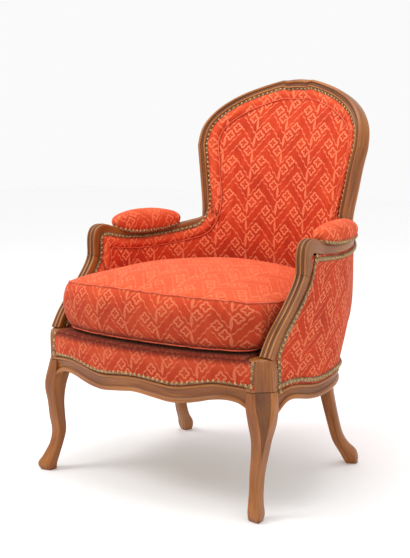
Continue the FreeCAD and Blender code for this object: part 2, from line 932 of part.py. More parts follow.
def seat_stuffing():
    """Stuffing over the springs, stepped down on to the rails all round."""
    body = body_of("seat_stuffing")
    curves = seat_plan(6, 56, 6)
    outline = new_sketch(body, "stuffing_outline", curves, "Sizes.rail_top + Sizes.soft_gap")
    new_pad(
        body,
        outline,
        "stuffing_pad",
        "Sizes.seat_level - Sizes.cover_thick - 2 * Sizes.soft_gap - Sizes.rail_top",
    )
    well = new_sketch(body, "spring_well", seat_plan(40, 64, 14), "Sizes.rail_top + Sizes.soft_gap")
    pocket = body.newObject("PartDesign::Pocket", "well_pocket")
    pocket.Profile = well
    pocket.Reversed = True
    depth = "Sizes.spring_crown + Sizes.hessian_thick + Sizes.soft_gap / 2 - Sizes.rail_top"
    pocket.setExpression("Length", depth)
    return placed(body, "seat_stuffing")


def level_layer(label, curves, level, thickness):
    body = body_of(label)
    new_pad(body, new_sketch(body, label + "_outline", curves, level), label + "_pad", thickness)
    return placed(body, label)


def seat_front_band():
    """Padded band over the front rail, from the nail line to the platform."""
    top = size("seat_level") - size("cover_thick") - size("soft_gap")
    edge = inner_corner().x - size("soft_gap")
    outer, inner = [], []
    for x in front_places(edge):
        y = front_face(x)
        nail = nail_level(x) + 2 * size("soft_gap")
        lower, middle, upper = mix(nail, top, 0.2), mix(nail, top, 0.42), mix(nail, top, 0.7)
        shape = [(3.6, nail), (0, nail + 1), (-4, lower), (-6, middle), (-5, upper), (-1, top - 8)]
        shape += [(5.4, top)]
        outer.append([Vector(x, y + a, z) for a, z in shape])
        back = [(3.7, nail), (3.7, nail + 1), (3.7, lower), (3.7, middle), (5.6, upper)]
        back += [(5.6, top - 8), (5.7, top)]
        inner.append([Vector(x, y + a, z) for a, z in back])
    return slab(outer, inner)


def webbing(label, lengthwise, count, level):
    """Bands of webbing under the springs, each as long as the rails allow."""
    body = body_of(label)
    corner = inner_corner()
    ledge = 13
    pitch = size("spring_pitch")
    half = size("web_width") / 2
    curves = []
    for k in range(count):
        centre = (k - (count - 1) / 2) * pitch
        if lengthwise:
            near = front_face(abs(centre) + half) + size("front_rail_thick") - ledge
            far = size("rear_line") + 4
            curves += rectangle(centre - half, near, centre + half, far)
        else:
            y = centre + (corner.y + size("rear_line")) / 2 - 2
            reach = min(side_reach(y - half), side_reach(y + half)) - size("side_rail_thick") + ledge - 5
            curves += rectangle(-reach, y - half, reach, y + half)
    new_pad(body, new_sketch(body, label + "_bands", curves, level), label + "_pad", "Sizes.web_thick")
    return placed(body, label)


def side_reach(y):
    """Half width of the seat over the side rails, at a place along Y."""
    low, high = side_curve.FirstParameter, side_curve.LastParameter
    for _ in range(30):
        middle = (low + high) / 2
        if side_curve.value(middle).y < y:
            low = middle
        else:
            high = middle
    return side_curve.value(low).x


def spring(x, y, bottom, top):
    """An hourglass coil with few faces, ruled from section to section."""
    steps = int(size("spring_turns") * 6)
    wire = size("spring_wire") / 2
    wires = []
    for k in range(steps + 1):
        share = k / steps
        angle = 2 * math.pi * size("spring_turns") * share
        radius = mix(size("spring_waist"), size("spring_radius"), (2 * share - 1) ** 2)
        middle = Vector(
            x + radius * math.cos(angle),
            y + radius * math.sin(angle),
            mix(bottom + wire, top - wire, share),
        )
        outward = Vector(math.cos(angle), math.sin(angle), 0)
        ends = [outward * wire, Vector(0, 0, wire) - outward * wire, Vector(0, 0, -wire) - outward * wire]
        wires.append([middle + e for e in ends])
    return loft(wires)


def seat_springs():
    pitch = size("spring_pitch")
    middle = (inner_corner().y + size("rear_line")) / 2 - 2
    bottom = size("web_level") + 0.1
    coils = []
    for i in (-1, 0, 1):
        for j in (-1, 0, 1):
            coils.append(spring(i * pitch, middle + j * pitch, bottom, size("spring_crown")))
    return Part.makeCompound(coils)


def prism(points, bottom, top):
    face = polygon_face([Vector(x, y, bottom) for x, y in points])
    return face.extrude(Vector(0, 0, top - bottom))


def back_rail(posts):
    """Rear seat rail, curved in plan, between the two stiles."""
    reach = size("rear_half") - 4
    hollow = size("back_hollow") * 0.7
    front, thick = size("rear_line") - 12, size("side_rail_thick")
    steps = 10
    near, far = [], []
    for k in range(steps + 1):
        x = mix(-reach, reach, k / steps)
        y = front + hollow * (1 - (x / reach) ** 2)
        near.append((x, y))
        far.append((x, y + thick))
    shape = prism(near + far[::-1], size("rail_bottom") + 4, size("rail_top"))
    for post in posts:
        shape = shape.cut(post)
    return largest(shape)


def back_lower_rail():
    """Cross rail above the seat that the webbing of the back is tacked to."""
    low, high = size("rail_top") + 28, size("rail_top") + 62
    inset = size("frame_width") / 2 + 1.5
    rear, front = [], []
    for level in (low, high):
        half = inner_half(level, inset)
        xs = [mix(-half, half, k / 8) for k in range(9)]
        rear.append([back_point(x, level) - back_normal(x, level) * 16 for x in xs])
        front.append([back_point(x, level) - back_normal(x, level) * 6 for x in xs])
    return slab(front, rear)


def back_band(low, high, rear, front):
    """One band of webbing between two opposite corners of the back."""
    grids = []
    across = 6 if high[0] - low[0] > size("web_width") + 1 else 1
    upward = 6 if across == 1 else 1
    for depth in (front, rear):
        grid = []
        for i in range(upward + 1):
            level = mix(low[1], high[1], i / upward)
            xs = [mix(low[0], high[0], k / across) for k in range(across + 1)]
            grid.append([back_point(x, level) + back_normal(x, level) * depth for x in xs])
        grids.append(grid)
    return slab(*grids)


def back_bands():
    """Webbing of the back: three bands upright and three across, behind them."""
    half, thick = size("web_width") / 2, size("web_thick")
    inset = size("frame_width") / 2 + 0.5
    bottom = size("rail_top") + 30
    bands = []
    for centre in (-110, 0, 110):
        edge = abs(centre) + half
        share = edge / size("back_half")
        top = arch_point(min(share * 0.92, 0.98), inset).z
        low = (centre - half, bottom)
        bands.append(back_band(low, (centre + half, top), -2.2 - thick, -2.2))
    for level in (480, 600, 720):
        reach = inner_half(level, inset) + 3
        low = (-reach, level - half)
        bands.append(back_band(low, (reach, level + half), -2.8 - 2 * thick, -2.8 - thick))
    return bands


def corner_blocks(walls):
    """Triangular glue blocks, fitted into the corners of the seat frame."""
    corner = inner_corner()
    bottom, top = size("rail_top") - 36, size("rail_top") - 2
    back_y = size("rear_line")
    front = [(corner.x - 48, corner.y - 40), (corner.x + 40, corner.y - 40), (corner.x + 40, corner.y + 48)]
    rear = [(size("rear_half") - 70, back_y + 20), (size("rear_half"), back_y + 30)]
    rear += [(size("rear_half") + 40, back_y - 20), (size("rear_half") + 30, back_y - 62)]
    blocks = []
    for points in (front, rear):
        block = prism(points, bottom, top)
        for wall in walls:
            block = block.cut(wall)
        inner = min(block.Solids, key=lambda piece: abs(piece.CenterOfMass.x))
        blocks += [inner, mirrored(inner)]
    return Part.makeCompound(blocks)


def arm_share_at_line(y):
    """Where the arm rail passes a place along Y, behind its scroll."""
    low, high = arm_rear_start - 0.06, 1.0
    for _ in range(30):
        middle = (low + high) / 2
        if arm_curve.value(arm_parameter(middle)).y < y:
            low = middle
        else:
            high = middle
    return low


def pad_loft(shrink, drop):
    """Domed pad on the arm rail; its sections swell quickly from each end."""
    start = size("arm_front") + 84
    length = size("pad_length")
    width, height = size("pad_base") / 2, size("pad_height")
    swell = [(0, 0.42), (0.035, 0.66), (0.1, 0.86), (0.2, 0.97), (0.4, 1), (0.6, 1)]
    swell += [(0.8, 0.97), (0.9, 0.86), (0.965, 0.66), (1, 0.42)]
    wires = []
    for place, full in swell:
        share = arm_share_at_line(start + shrink + (length - 2 * shrink) * place)
        station = arm_station(share)
        side = Vector(station.side.x, station.side.y, 0)
        side.normalize()
        base = station.centre + Vector(0, 0, size("arm_rail_height") / 2 + size("soft_gap"))
        points = []
        w, h = width * (0.6 + 0.4 * full) - shrink, height * full - shrink
        bulge = 1.32
        for a, b in [(-1, 0), (-bulge, 0.32), (-0.95 * bulge, 0.6), (-0.62 * bulge, 0.87), (0, 1)]:
            points.append(base + side * (w * a) + Vector(0, 0, h * b - (drop if b == 0 else 0)))
        for a, b in [(0.62 * bulge, 0.87), (0.95 * bulge, 0.6), (bulge, 0.32), (1, 0)]:
            points.append(base + side * (w * a) + Vector(0, 0, h * b - (drop if b == 0 else 0)))
        wires.append(points)
    return loft(wires)


def arm_pads(rail):
    """Each pad is a cover, open below, over its stuffing."""
    thick, gap = size("cover_thick"), size("soft_gap")
    stuffing = pad_loft(thick + gap, -3)
    cover = fitted(pad_loft(0, 3), pad_loft(thick, 9), rail)
    pair("arm_pad_stuffing", stuffing)
    pair("arm_pad_cover", cover)


def side_clear(y):
    """Half the width between the inside arm covers at seat height, at a place along Y."""
    widths = []
    for height in (size("seat_level") + 2, size("seat_level") + 60, size("seat_level") + 125):
        run = []
        for k in range(41):
            share = k / 40
            rise = (height - size("rail_top")) / (arm_underside(share) - size("rail_top"))
            run.append(side_point(share, height, padding(share, rise)))
        width = run[-1].x
        for p, q in zip(run, run[1:]):
            if p.y <= y <= q.y:
                width = mix(p.x, q.x, (y - p.y) / (q.y - p.y))
        if y < run[0].y:
            width = run[0].x
        widths.append(width)
    return min(widths) - size("side_gap")


def support_clear():
    """Half the width between the arm supports over the height of the cushion."""
    low = size("seat_level")
    high = low + size("cushion_thick") + size("cushion_crown")
    inner = []
    for k in range(9):
        station = arm_station(arm_share_at(min(mix(low, high, k / 8), under_arm())))
        inner.append(station.point(-size("support_width") / 2, 0).x)
    return min(inner) - size("cushion_clear")


def cushion_outline(scale):
    """Plan of the loose cushion: bowed front, rounded sides, bowed back.

    Its parts are short straight runs, and a smaller copy is scaled about the
    middle of the cushion, so that every facet between two copies is flat.
    """
    slide = support_clear()
    side_x = min(size("side_bow_front") - 50, slide + 7)
    front_y, rear_y = front_face(0) + 16, size("rear_line") + 74
    shoulder = inner_corner().y - 28
    curve = spline(
        [
            Vector(0, front_y, 0),
            Vector(side_x * 0.52, front_y + 9, 0),
            Vector(side_x * 0.92, shoulder, 0),
            Vector(min(slide, side_clear(-222) - 2), -222, 0),
            Vector(min(slide, side_clear(-160)), -160, 0),
            Vector(min(slide, side_clear(-80)), -80, 0),
            Vector(min(slide, side_clear(0)), 0, 0),
            Vector(min(slide, side_clear(70) - 1), 70, 0),
            Vector(min(slide, side_clear(124) - 8), 124, 0),
            Vector(side_x * 0.52, rear_y - 18, 0),
            Vector(side_x * 0.25, rear_y - 4, 0),
            Vector(0, rear_y, 0),
        ]
    )
    count = 16
    right = [curve.value(mix(curve.FirstParameter, curve.LastParameter, k / count)) for k in range(count + 1)]
    left = [Vector(-p.x, p.y, 0) for p in reversed(right[1:-1])]
    middle = Vector(0, (front_y + rear_y) / 2, 0)
    points = [middle + (p - middle) * scale for p in right + left]
    return [Part.LineSegment(points[k - 1], points[k]) for k in range(len(points))]


def cushion_dome(inset):
    """Crowned top of the cushion, above its boxed border."""
    base = size("seat_level") + size("soft_gap") + size("cushion_thick") - 0.5 * inset
    rise = size("cushion_crown") - 0.5 * inset
    scale = cushion_scale(inset)
    rings = []
    for shrink, share in [(1, 0), (0.88, 0.5), (0.7, 0.86), (0.45, 1)]:
        level = Vector(0, 0, base + rise * share)
        rings.append([line.StartPoint + level for line in cushion_outline(scale * shrink)])
    return loft(rings)


def cushion_scale(inset):
    return 1 - inset / ((size("rear_line") + 74 - front_face(0) - 16) / 2)


def cushion_body(label, inset):
    """Boxed border of the cushion; inset makes it smaller all round."""
    body = body_of(label)
    scale = cushion_scale(inset)
    low = "Sizes.seat_level + Sizes.soft_gap + %s" % inset
    border = new_sketch(body, label + "_outline", cushion_outline(scale), low)
    new_pad(body, border, label + "_pad", "Sizes.cushion_thick - 1.5 * %s" % inset)
    document.recompute()
    return body


def cushion():
    """Loose cushion: a sewn casing over its feather filling."""
    gap, thick = size("soft_gap"), size("cover_thick")
    filling = cushion_body("filling_border", gap + thick)
    feature("cushion_filling", filling.Shape.fuse(cushion_dome(gap + thick)).removeSplitter())
    outer = cushion_body("cushion_outside", 0).Shape.fuse(cushion_dome(0))
    inner = cushion_body("cushion_inside", thick).Shape.fuse(cushion_dome(thick))
    feature("cushion_cover", outer.cut(inner).removeSplitter())


def rod(start, along, radius, length, sides=8):
    """A peg or screw with flat sides."""
    turn = FreeCAD.Rotation(Vector(0, 0, 1), along)
    corners = []
    for k in range(sides):
        angle = 2 * math.pi * (k + 0.5) / sides
        corner = Vector(radius * math.cos(angle), radius * math.sin(angle), 0)
        corners.append(start + turn.multVec(corner))
    return polygon_face(corners).extrude(along * length)


def peg_places():
    """Where the pegs of the seat frame start, and which way they run."""
    corner = inner_corner()
    half = size("peg_length") / 2
    level = size("web_level") + 7
    places = []
    front_y = front_face(corner.x) + size("front_rail_thick") / 2
    places.append((Vector(corner.x - half, front_y, level), Vector(1, 0, 0)))
    side_x = corner.x + size("block_side") - size("side_rail_thick") / 2 - 2
    places.append((Vector(side_x, corner.y - half, level), Vector(0, 1, 0)))
    return places


def pegs(grow):
    long = size("peg_length") + 2 * grow
    shapes = []
    for start, along in peg_places():
        shapes.append(rod(start - along * grow, along, size("peg_radius") + grow, long))
    return shapes


def screw_place():
    """Start and direction of the screw through the right front corner block."""
    corner = inner_corner()
    along = Vector(1, -1, 0)
    along.normalize()
    return Vector(corner.x, corner.y, size("rail_top") - 14) - along * 26, along


def screw(grow):
    start, along = screw_place()
    shank = rod(start, along, size("screw_radius") + grow, size("screw_length") + grow, 10)
    head = rod(start - along * 3, along, size("screw_radius") * 2 + grow, 3 + grow, 10)
    return shank.fuse(head)


bores = pegs(size("bore_gap"))
bores_left = [mirrored(bore) for bore in bores]
screw_bore = screw(size("bore_gap"))

leg_right = fitted(front_leg(), *bores)
pair("front_leg", leg_right)
post_right = stile()
post_left = mirrored(post_right)
pair("back_stile", post_right)
crest_shape = crest()
feature("crest_rail", crest_shape)
support_right = fitted(arm_support(), screw_bore)
pair("arm_support", support_right)
arm_right = arm_rail(post_right)
pair("arm_rail", arm_right)
front_walls = [leg_right, mirrored(leg_right), support_right, mirrored(support_right)]
front_rail_shape = fitted(front_rail(), *front_walls, *bores, *bores_left)
feature("front_rail", front_rail_shape)
back_rail_shape = back_rail([post_right, post_left])
feature("back_rail", back_rail_shape)
side_walls = [post_right, back_rail_shape, leg_right, support_right]
side_rail_right = side_rail(side_walls + bores)
pair("side_rail", side_rail_right)
walls = [leg_right, support_right, post_right, front_rail_shape, side_rail_right, back_rail_shape]
feature("corner_blocks", corner_blocks(walls + [screw_bore]))
pegs_right = pegs(0)
feature("joint_pegs", Part.makeCompound(pegs_right + [mirrored(peg) for peg in pegs_right]))
feature("corner_block_screws", Part.makeCompound([screw(0), mirrored(screw(0))]))

frame_right = [post_right, crest_shape, arm_right, support_right, side_rail_right, back_rail_shape]
frame = frame_right + [post_left, mirrored(arm_right)]
back_cover, back_stuffing = back_layers(frame)
outside = fitted(outside_arm_cover(), *frame_right, leg_right)
pair("outside_arm_cover", outside)
inside = fitted(inside_arm_cover(), *frame_right, leg_right, back_cover, outside)
pair("inside_arm_cover", inside)
stuffing_walls = [outside, inside, back_cover, back_stuffing]
pair("inside_arm_stuffing", fitted(inside_arm_stuffing(), *frame_right, leg_right, *stuffing_walls))
arm_pads(arm_right)
seat_stuffing()
level_layer(
    "seat_platform_cover",
    seat_plan(6, 56, 6),
    "Sizes.seat_level - Sizes.cover_thick",
    "Sizes.cover_thick",
)
level_layer("seat_hessian", seat_plan(42, 66, 16), "Sizes.spring_crown + 0.1", "Sizes.hessian_thick")
feature("seat_front_band", seat_front_band())
webbing("seat_webbing_lengthwise", True, 3, "Sizes.web_level - Sizes.web_thick")
webbing("seat_webbing_crosswise", False, 3, "Sizes.web_level - 2 * Sizes.web_thick")
feature("seat_springs", seat_springs())
cushion()

document.recompute()
for thing in document.Objects:
    if "Invalid" in thing.State or "Error" in thing.State:
        raise RuntimeError(thing.Name + " failed")
for label, thing in nodes.items():
    if thing.Shape.isNull() or not thing.Shape.isValid():
        raise RuntimeError(label + " is not a valid solid")
os.makedirs("parts", exist_ok=True)
for label, thing in nodes.items():
    thing.Shape.exportStep("parts/%s.step" % label)
    print(label, round(thing.Shape.Volume / 1000, 1), len(thing.Shape.Solids))
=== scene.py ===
import math

import bmesh
import bpy
import numpy as np
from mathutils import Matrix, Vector
from mathutils.bvhtree import BVHTree


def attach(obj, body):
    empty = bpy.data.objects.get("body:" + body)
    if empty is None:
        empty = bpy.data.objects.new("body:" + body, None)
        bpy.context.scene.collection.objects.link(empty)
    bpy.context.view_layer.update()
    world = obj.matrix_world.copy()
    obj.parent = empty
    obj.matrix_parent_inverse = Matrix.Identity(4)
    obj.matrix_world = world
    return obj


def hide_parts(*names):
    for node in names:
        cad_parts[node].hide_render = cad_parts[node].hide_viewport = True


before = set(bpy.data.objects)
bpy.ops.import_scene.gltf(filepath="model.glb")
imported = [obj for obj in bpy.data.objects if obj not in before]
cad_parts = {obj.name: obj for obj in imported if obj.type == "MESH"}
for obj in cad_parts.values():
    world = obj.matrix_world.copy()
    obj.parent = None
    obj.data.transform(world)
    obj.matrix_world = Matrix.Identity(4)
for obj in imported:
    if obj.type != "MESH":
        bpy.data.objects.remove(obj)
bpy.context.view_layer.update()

# The guide curves below are those of the frame, in millimetres, before the
# plan is moved to the middle of the chair.
PLAN_SHIFT = -22.1
RAIL_LOW, RAIL_TOP, LEG_TOP = 235.0, 300.0, 275.0
ARM_LEVEL, ARM_DEEP = 573.0, 26.0
TALL, CREST_LEVEL = 950.0, 936
CORNER = np.array([277.0, -237.0, 0.0])
BLOCK = 50.0
HOLLOW, BACK_HALF, WAIST = 48.0, 240.0, 212.0
SEAT = 347.5
NAIL_PITCH, NAIL_HEAD = 0.0125, 0.0043

# Thickness of the covers, width of the sewn roll, and how far filling may move a point.
COVER_THICK, ROLL_WIDE = 2.0, 28.0
FILL_REACH = 16


def unit(v):
    v = np.asarray(v, float)
    return v / np.linalg.norm(v)


def mix(a, b, share):
    return a + (b - a) * share


def run_along(points):
    """Length from the first point of a line to each of its points."""
    return np.concatenate([[0], np.cumsum(np.linalg.norm(np.diff(points, axis=0), axis=1))])


def facings(grid):
    """The way each point of a grid faces."""
    normal = np.cross(np.gradient(grid, axis=1), np.gradient(grid, axis=0))
    return normal / (np.linalg.norm(normal, axis=2, keepdims=True) + 1e-9)


class Guide:
    """A smooth line through points, followed from 0 to 1."""

    def __init__(self, points):
        self.p = np.array(points, float)
        step = np.linalg.norm(np.diff(self.p, axis=0), axis=1)
        self.t = np.concatenate([[0], np.cumsum(step)]) / step.sum()
        n = len(self.t)
        h = np.diff(self.t)
        a = np.eye(n)
        b = np.zeros((n, self.p.shape[1]))
        for i in range(1, n - 1):
            a[i, i - 1 : i + 2] = h[i - 1], 2 * (h[i - 1] + h[i]), h[i]
            b[i] = 6 * ((self.p[i + 1] - self.p[i]) / h[i] - (self.p[i] - self.p[i - 1]) / h[i - 1])
        self.m = np.linalg.solve(a, b)

    def _at(self, s, order):
        s = min(1.0, max(0.0, s))
        i = min(len(self.t) - 2, max(0, int(np.searchsorted(self.t, s)) - 1))
        h = self.t[i + 1] - self.t[i]
        u, v = (self.t[i + 1] - s) / h, (s - self.t[i]) / h
        p, q, m, n = self.p[i], self.p[i + 1], self.m[i], self.m[i + 1]
        if order == 0:
            return u * p + v * q + ((u**3 - u) * m + (v**3 - v) * n) * h * h / 6
        return (q - p) / h + ((3 * v * v - 1) * n - (3 * u * u - 1) * m) * h / 6

    def at(self, s):
        return self._at(s, 0)

    def along(self, s):
        return unit(self._at(s, 1))

    def where(self, axis, value, low=0.0, high=1.0):
        """The share at which one coordinate, rising on the way, reaches a value."""
        for _ in range(26):
            middle = (low + high) / 2
            if self.at(middle)[axis] < value:
                low = middle
            else:
                high = middle
        return low


def graph(points):
    """A smooth curve through points, read as the value at a place."""
    x, y = np.array(points, float).T
    slope = np.gradient(y, x)
    places = np.linspace(x[0], x[-1], 900)
    k = np.clip(np.searchsorted(x, places) - 1, 0, len(x) - 2)
    h = x[k + 1] - x[k]
    t = (places - x[k]) / h
    values = (2 * t**3 - 3 * t**2 + 1) * y[k] + (t**3 - 2 * t**2 + t) * h * slope[k]
    values += (3 * t**2 - 2 * t**3) * y[k + 1] + (t**3 - t**2) * h * slope[k + 1]
    return lambda u: float(np.interp(u, places, values))


# How far back the back stands at the seat rail, at the arms and at its top.
RAIL_BACK, ARM_BACK, TOP_BACK = 118, 227, 310
RAKE = [(0.0, 0.0), (0.115, 0.11), (0.22, 0.35), (0.385, 0.70), (0.60, 0.88), (0.90, 0.95)]
RAKE_HIGH = [(0.10, 0.0), (0.265, 0.12), (0.44, 0.235), (0.56, 0.35), (0.76, 0.64), (0.96, 1.0)]
rake = graph(
    [(mix(RAIL_LOW, ARM_LEVEL, f), mix(RAIL_BACK, ARM_BACK, g)) for f, g in RAKE]
    + [(mix(ARM_LEVEL, TALL, f), mix(ARM_BACK, TOP_BACK, g)) for f, g in RAKE_HIGH]
)


def back_at(x, z):
    """A point of the hollow middle surface of the back."""
    return np.array([x, rake(z) + HOLLOW * (1 - (x / BACK_HALF) ** 2), z])


def back_facing(x, z):
    across = back_at(x + 1, z) - back_at(x - 1, z)
    upward = back_at(x, z + 1) - back_at(x, z - 1)
    facing = unit(np.cross(across, upward))
    return facing if facing[1] < 0 else -facing


def station(centre, along, side):
    along = unit(along)
    face = unit(np.cross(side, along))
    return centre, unit(np.cross(along, face)), face


def ring(place, outline):
    centre, side, face = place
    return [centre + side * a + face * b for a, b in outline]


def eased(outline, radius=1.1, steps=2):
    """The corners of a section, rounded as sanding and wear leave them."""
    points = []
    n = len(outline)
    for k in range(n):
        p, q, r = (np.array(outline[(k + d) % n][:2], float) for d in (-1, 0, 1))
        own = outline[k][2] if len(outline[k]) > 2 else radius
        back, ahead = p - q, r - q
        cut = min(own, 0.46 * np.linalg.norm(back), 0.46 * np.linalg.norm(ahead))
        a, b = q + unit(back) * cut, q + unit(ahead) * cut
        for s in np.linspace(0, 1, steps + 2):
            points.append((1 - s) ** 2 * a + 2 * s * (1 - s) * q + s * s * b)
    return points


# Materials

class Value:
    """One output of a finish's nodes; arithmetic on it adds the nodes that it needs."""

    def __init__(self, finish, socket):
        self.finish, self.socket = finish, socket

    def __add__(self, other):
        return self.finish.math("ADD", self, other)

    def __sub__(self, other):
        return self.finish.math("SUBTRACT", self, other)

    def __rsub__(self, other):
        return self.finish.math("SUBTRACT", other, self)

    def __mul__(self, other):
        return self.finish.math("MULTIPLY", self, other)

    def __truediv__(self, other):
        return self.finish.math("DIVIDE", self, other)


class Finish:
    """A material, with short names for the nodes that the chair's finishes need."""

    def __init__(self, name):
        self.material = bpy.data.materials.new(name)
        self.material.use_nodes = True

    def put(self, value, socket):
        if isinstance(value, Value):
            self.material.node_tree.links.new(value.socket, socket)
        else:
            socket.default_value = value

    def node(self, kind, inputs, output=0, **settings):
        """One node with its inputs by name or number; the wanted output comes back."""
        node = self.material.node_tree.nodes.new(kind)
        for key, value in settings.items():
            setattr(node, key, value)
        for key, value in inputs.items():
            self.put(value, node.inputs[key])
        return Value(self, node.outputs[output])

    def math(self, operation, a, b=0.0):
        return self.node("ShaderNodeMath", {0: a, 1: b}, operation=operation)

    def noise(self, vector, scale, detail, rough):
        inputs = {"Vector": vector, "Scale": scale, "Detail": detail, "Roughness": rough}
        return self.node("ShaderNodeTexNoise", inputs, "Fac")

    def stretch(self, vector, scale):
        return self.node("ShaderNodeMapping", {"Vector": vector, "Scale": scale})

    def ramp(self, value, stops):
        colour = self.node("ShaderNodeValToRGB", {"Fac": value}, "Color")
        elements = colour.socket.node.color_ramp.elements
        while len(elements) < len(stops):
            elements.new(0.5)
        for element, (place, paint) in zip(elements, stops):
            element.position = place
            element.color = (*paint, 1)
        return colour

    def blend(self, share, a, b):
        a, b = [paint if isinstance(paint, Value) else (*paint, 1) for paint in (a, b)]
        return self.node("ShaderNodeMix", {0: share, 6: a, 7: b}, 2, data_type="RGBA")

    def attribute(self, name):
        return self.node("ShaderNodeAttribute", {}, "Fac", attribute_name=name)

    def uv(self, name="cloth"):
        return self.node("ShaderNodeUVMap", {}, uv_map=name)

    def place(self):
        return self.node("ShaderNodeTexCoord", {}, "Object")

    def split(self, vector):
        parts = self.node("ShaderNodeSeparateXYZ", {0: vector}).socket.node.outputs
        return [Value(self, part) for part in parts]

    def bump(self, height, distance, strength):
        return self.node("ShaderNodeBump", {"Strength": strength, "Distance": distance, "Height": height})

    def done(self, **inputs):
        """Sets the shader's own inputs; an underscore stands for a space in a name."""
        shader = self.material.node_tree.nodes["Principled BSDF"]
        for key, value in inputs.items():
            self.put(value, shader.inputs[key.replace("_", " ")])
        return self.material


def waxed_wood(name, dark, middle, light):
    """Moulded wood: grain along the piece, dark wax in the hollows together with painted shade there, and
    ridges worn lighter together with painted highlights.
    """
    g = Finish(name)
    uv = g.uv("grain")
    streak = g.noise(g.stretch(uv, (9, 230, 1)), 1.0, 5.0, 0.62)
    broad = g.noise(g.stretch(uv, (5, 34, 1)), 1.0, 3.0, 0.5)
    pores = g.noise(g.stretch(uv, (70, 1500, 1)), 1.0, 2.0, 0.6)
    tone = streak * 0.62 + broad * 0.5
    colour = g.ramp(tone, [(0.30, dark), (0.52, middle), (0.74, light)])
    colour = g.blend(g.math("GREATER_THAN", pores, 0.62) * 0.4, colour, dark)
    # Hollows get dark wax and painted shade of the recesses; ridges get worn finish and painted highlights.
    wax, wear = g.attribute("wax"), g.attribute("wear")
    blotch = g.noise(g.place(), 16.0, 4.0, 0.6)
    hollow = g.math("MINIMUM", wax * (blotch * 0.9 + 0.35), 0.52)
    colour = g.blend(hollow, colour, (0.036, 0.012, 0.004))
    worn = g.math("MINIMUM", wear * (blotch * 0.75), 0.55)
    colour = g.blend(worn, colour, (0.56, 0.26, 0.085))
    return g.done(Base_Color=colour, Roughness=streak * 0.25 + 0.24 + wax * 0.15,
                  Normal=g.bump(tone, 0.00035, 0.5), Specular_IOR_Level=0.38, Coat_Weight=0.06,
                  Coat_Roughness=0.22)


def bare_wood(name):
    g = Finish(name)
    grain = g.noise(g.stretch(g.place(), (14, 160, 160)), 1.0, 4.0, 0.6)
    colour = g.ramp(grain, [(0.3, (0.30, 0.17, 0.08)), (0.7, (0.52, 0.34, 0.18))])
    return g.done(Base_Color=colour, Normal=g.bump(grain, 0.0005, 0.6), Roughness=0.72)


def cut_velvet(name):
    """Cut velvet: slanting plain bands and paired blossoms, each second column mirrored."""
    g = Finish(name)
    repeat, slope, drop = 0.088, 1.2, 0.47
    uv = g.uv()
    sway = g.noise(uv, 42.0, 2.0, 0.5) - 0.5
    x, y, _ = g.split(uv)
    x, y = (x + sway * 0.004) / repeat, (y + sway * 0.005) / repeat
    across = g.math("PINGPONG", x, 0.5)
    height = y + g.math("GREATER_THAN", g.math("FRACT", x), 0.5) * drop
    lane = g.math("FRACT", height - across * slope)

    def blossom(cx, cy, radius):
        dx = across - cx
        dy = lane + dx * slope - cy
        reach = g.math("SQRT", dx * dx + dy * dy)
        petals = g.math("COSINE", g.math("ARCTAN2", dy, dx) * 4.0)
        rim = g.math("ABSOLUTE", reach - (petals * (radius * 0.24) + radius))
        return g.math("MAXIMUM", 1.0 - rim / 0.040, 0.7 - reach / 0.025)

    def stripe(middle):
        centre = g.math("SINE", across * 50.0) * 0.022 + middle
        return 1.0 - g.math("ABSOLUTE", lane - centre) / 0.034

    light = g.math("MAXIMUM", stripe(0.05), stripe(0.70)) * 0.66
    for cx in (0.150, 0.350):
        light = g.math("MAXIMUM", light, blossom(cx, 0.375, 0.106))
    tie = g.math("ABSOLUTE", across + g.math("SINE", height * 12.6) * 0.022)
    light = g.math("MAXIMUM", light, 0.9 - tie / 0.030) * 1.7
    light = g.math("MINIMUM", g.math("MAXIMUM", light, 0.0), 1.0)
    light = light * g.math("MINIMUM", g.noise(uv, 260.0, 2.0, 0.6) * 1.9, 1.0)

    rubbed = g.attribute("rubbed")
    hand = g.noise(uv, 9.0, 4.0, 0.62)
    nap = g.noise(g.stretch(uv, (60, 16, 1)), 1.0, 4.0, 0.65)
    pile = g.ramp(hand * 0.6 + nap * 0.4, [
        (0.30, (0.36, 0.020, 0.005)), (0.52, (0.54, 0.040, 0.010)), (0.72, (0.70, 0.080, 0.022))])
    worn = g.blend(hand, (0.70, 0.085, 0.026), (0.80, 0.135, 0.048))
    colour = g.blend(g.math("MINIMUM", rubbed * (nap * 0.7 + 0.55), 1.0), pile, worn)
    colour = g.blend(light * (0.92 - rubbed * 0.50), colour, (0.88, 0.235, 0.105))
    # Painted shade: the shade mark darkens the pile towards near black, where each piece sets it.
    colour = g.blend(g.attribute("shade"), colour, (0.05, 0.004, 0.001))
    relief = g.noise(uv, 1500.0, 2.0, 0.7) * 0.35 - light * 0.8
    return g.done(Base_Color=colour, Normal=g.bump(relief, 0.0007, 0.55), Roughness=0.86,
                  Specular_IOR_Level=0.2, Sheen_Weight=0.18, Sheen_Roughness=0.38,
                  Sheen_Tint=(1.0, 0.42, 0.27, 1))


def plain_cloth(name, dark, light, scale, rough=0.85):
    g = Finish(name)
    x, y, z = g.split(g.place())
    weave = g.math("SINE", (x + y) * scale) * g.math("SINE", (z + (x - y)) * scale)
    tone = weave * 0.16 + g.noise(g.place(), 60.0, 4.0, 0.6)
    colour = g.ramp(tone, [(0.3, dark), (0.68, light)])
    return g.done(Base_Color=colour, Normal=g.bump(tone, 0.0006, 0.6), Roughness=rough)


def metal(name, dark, light, rough):
    g = Finish(name)
    spot = g.noise(g.place(), 340.0, 3.0, 0.6)
    colour = g.ramp(spot, [(0.32, dark), (0.62, light)])
    return g.done(Base_Color=colour, Roughness=spot * 0.3 + rough, Metallic=1.0)


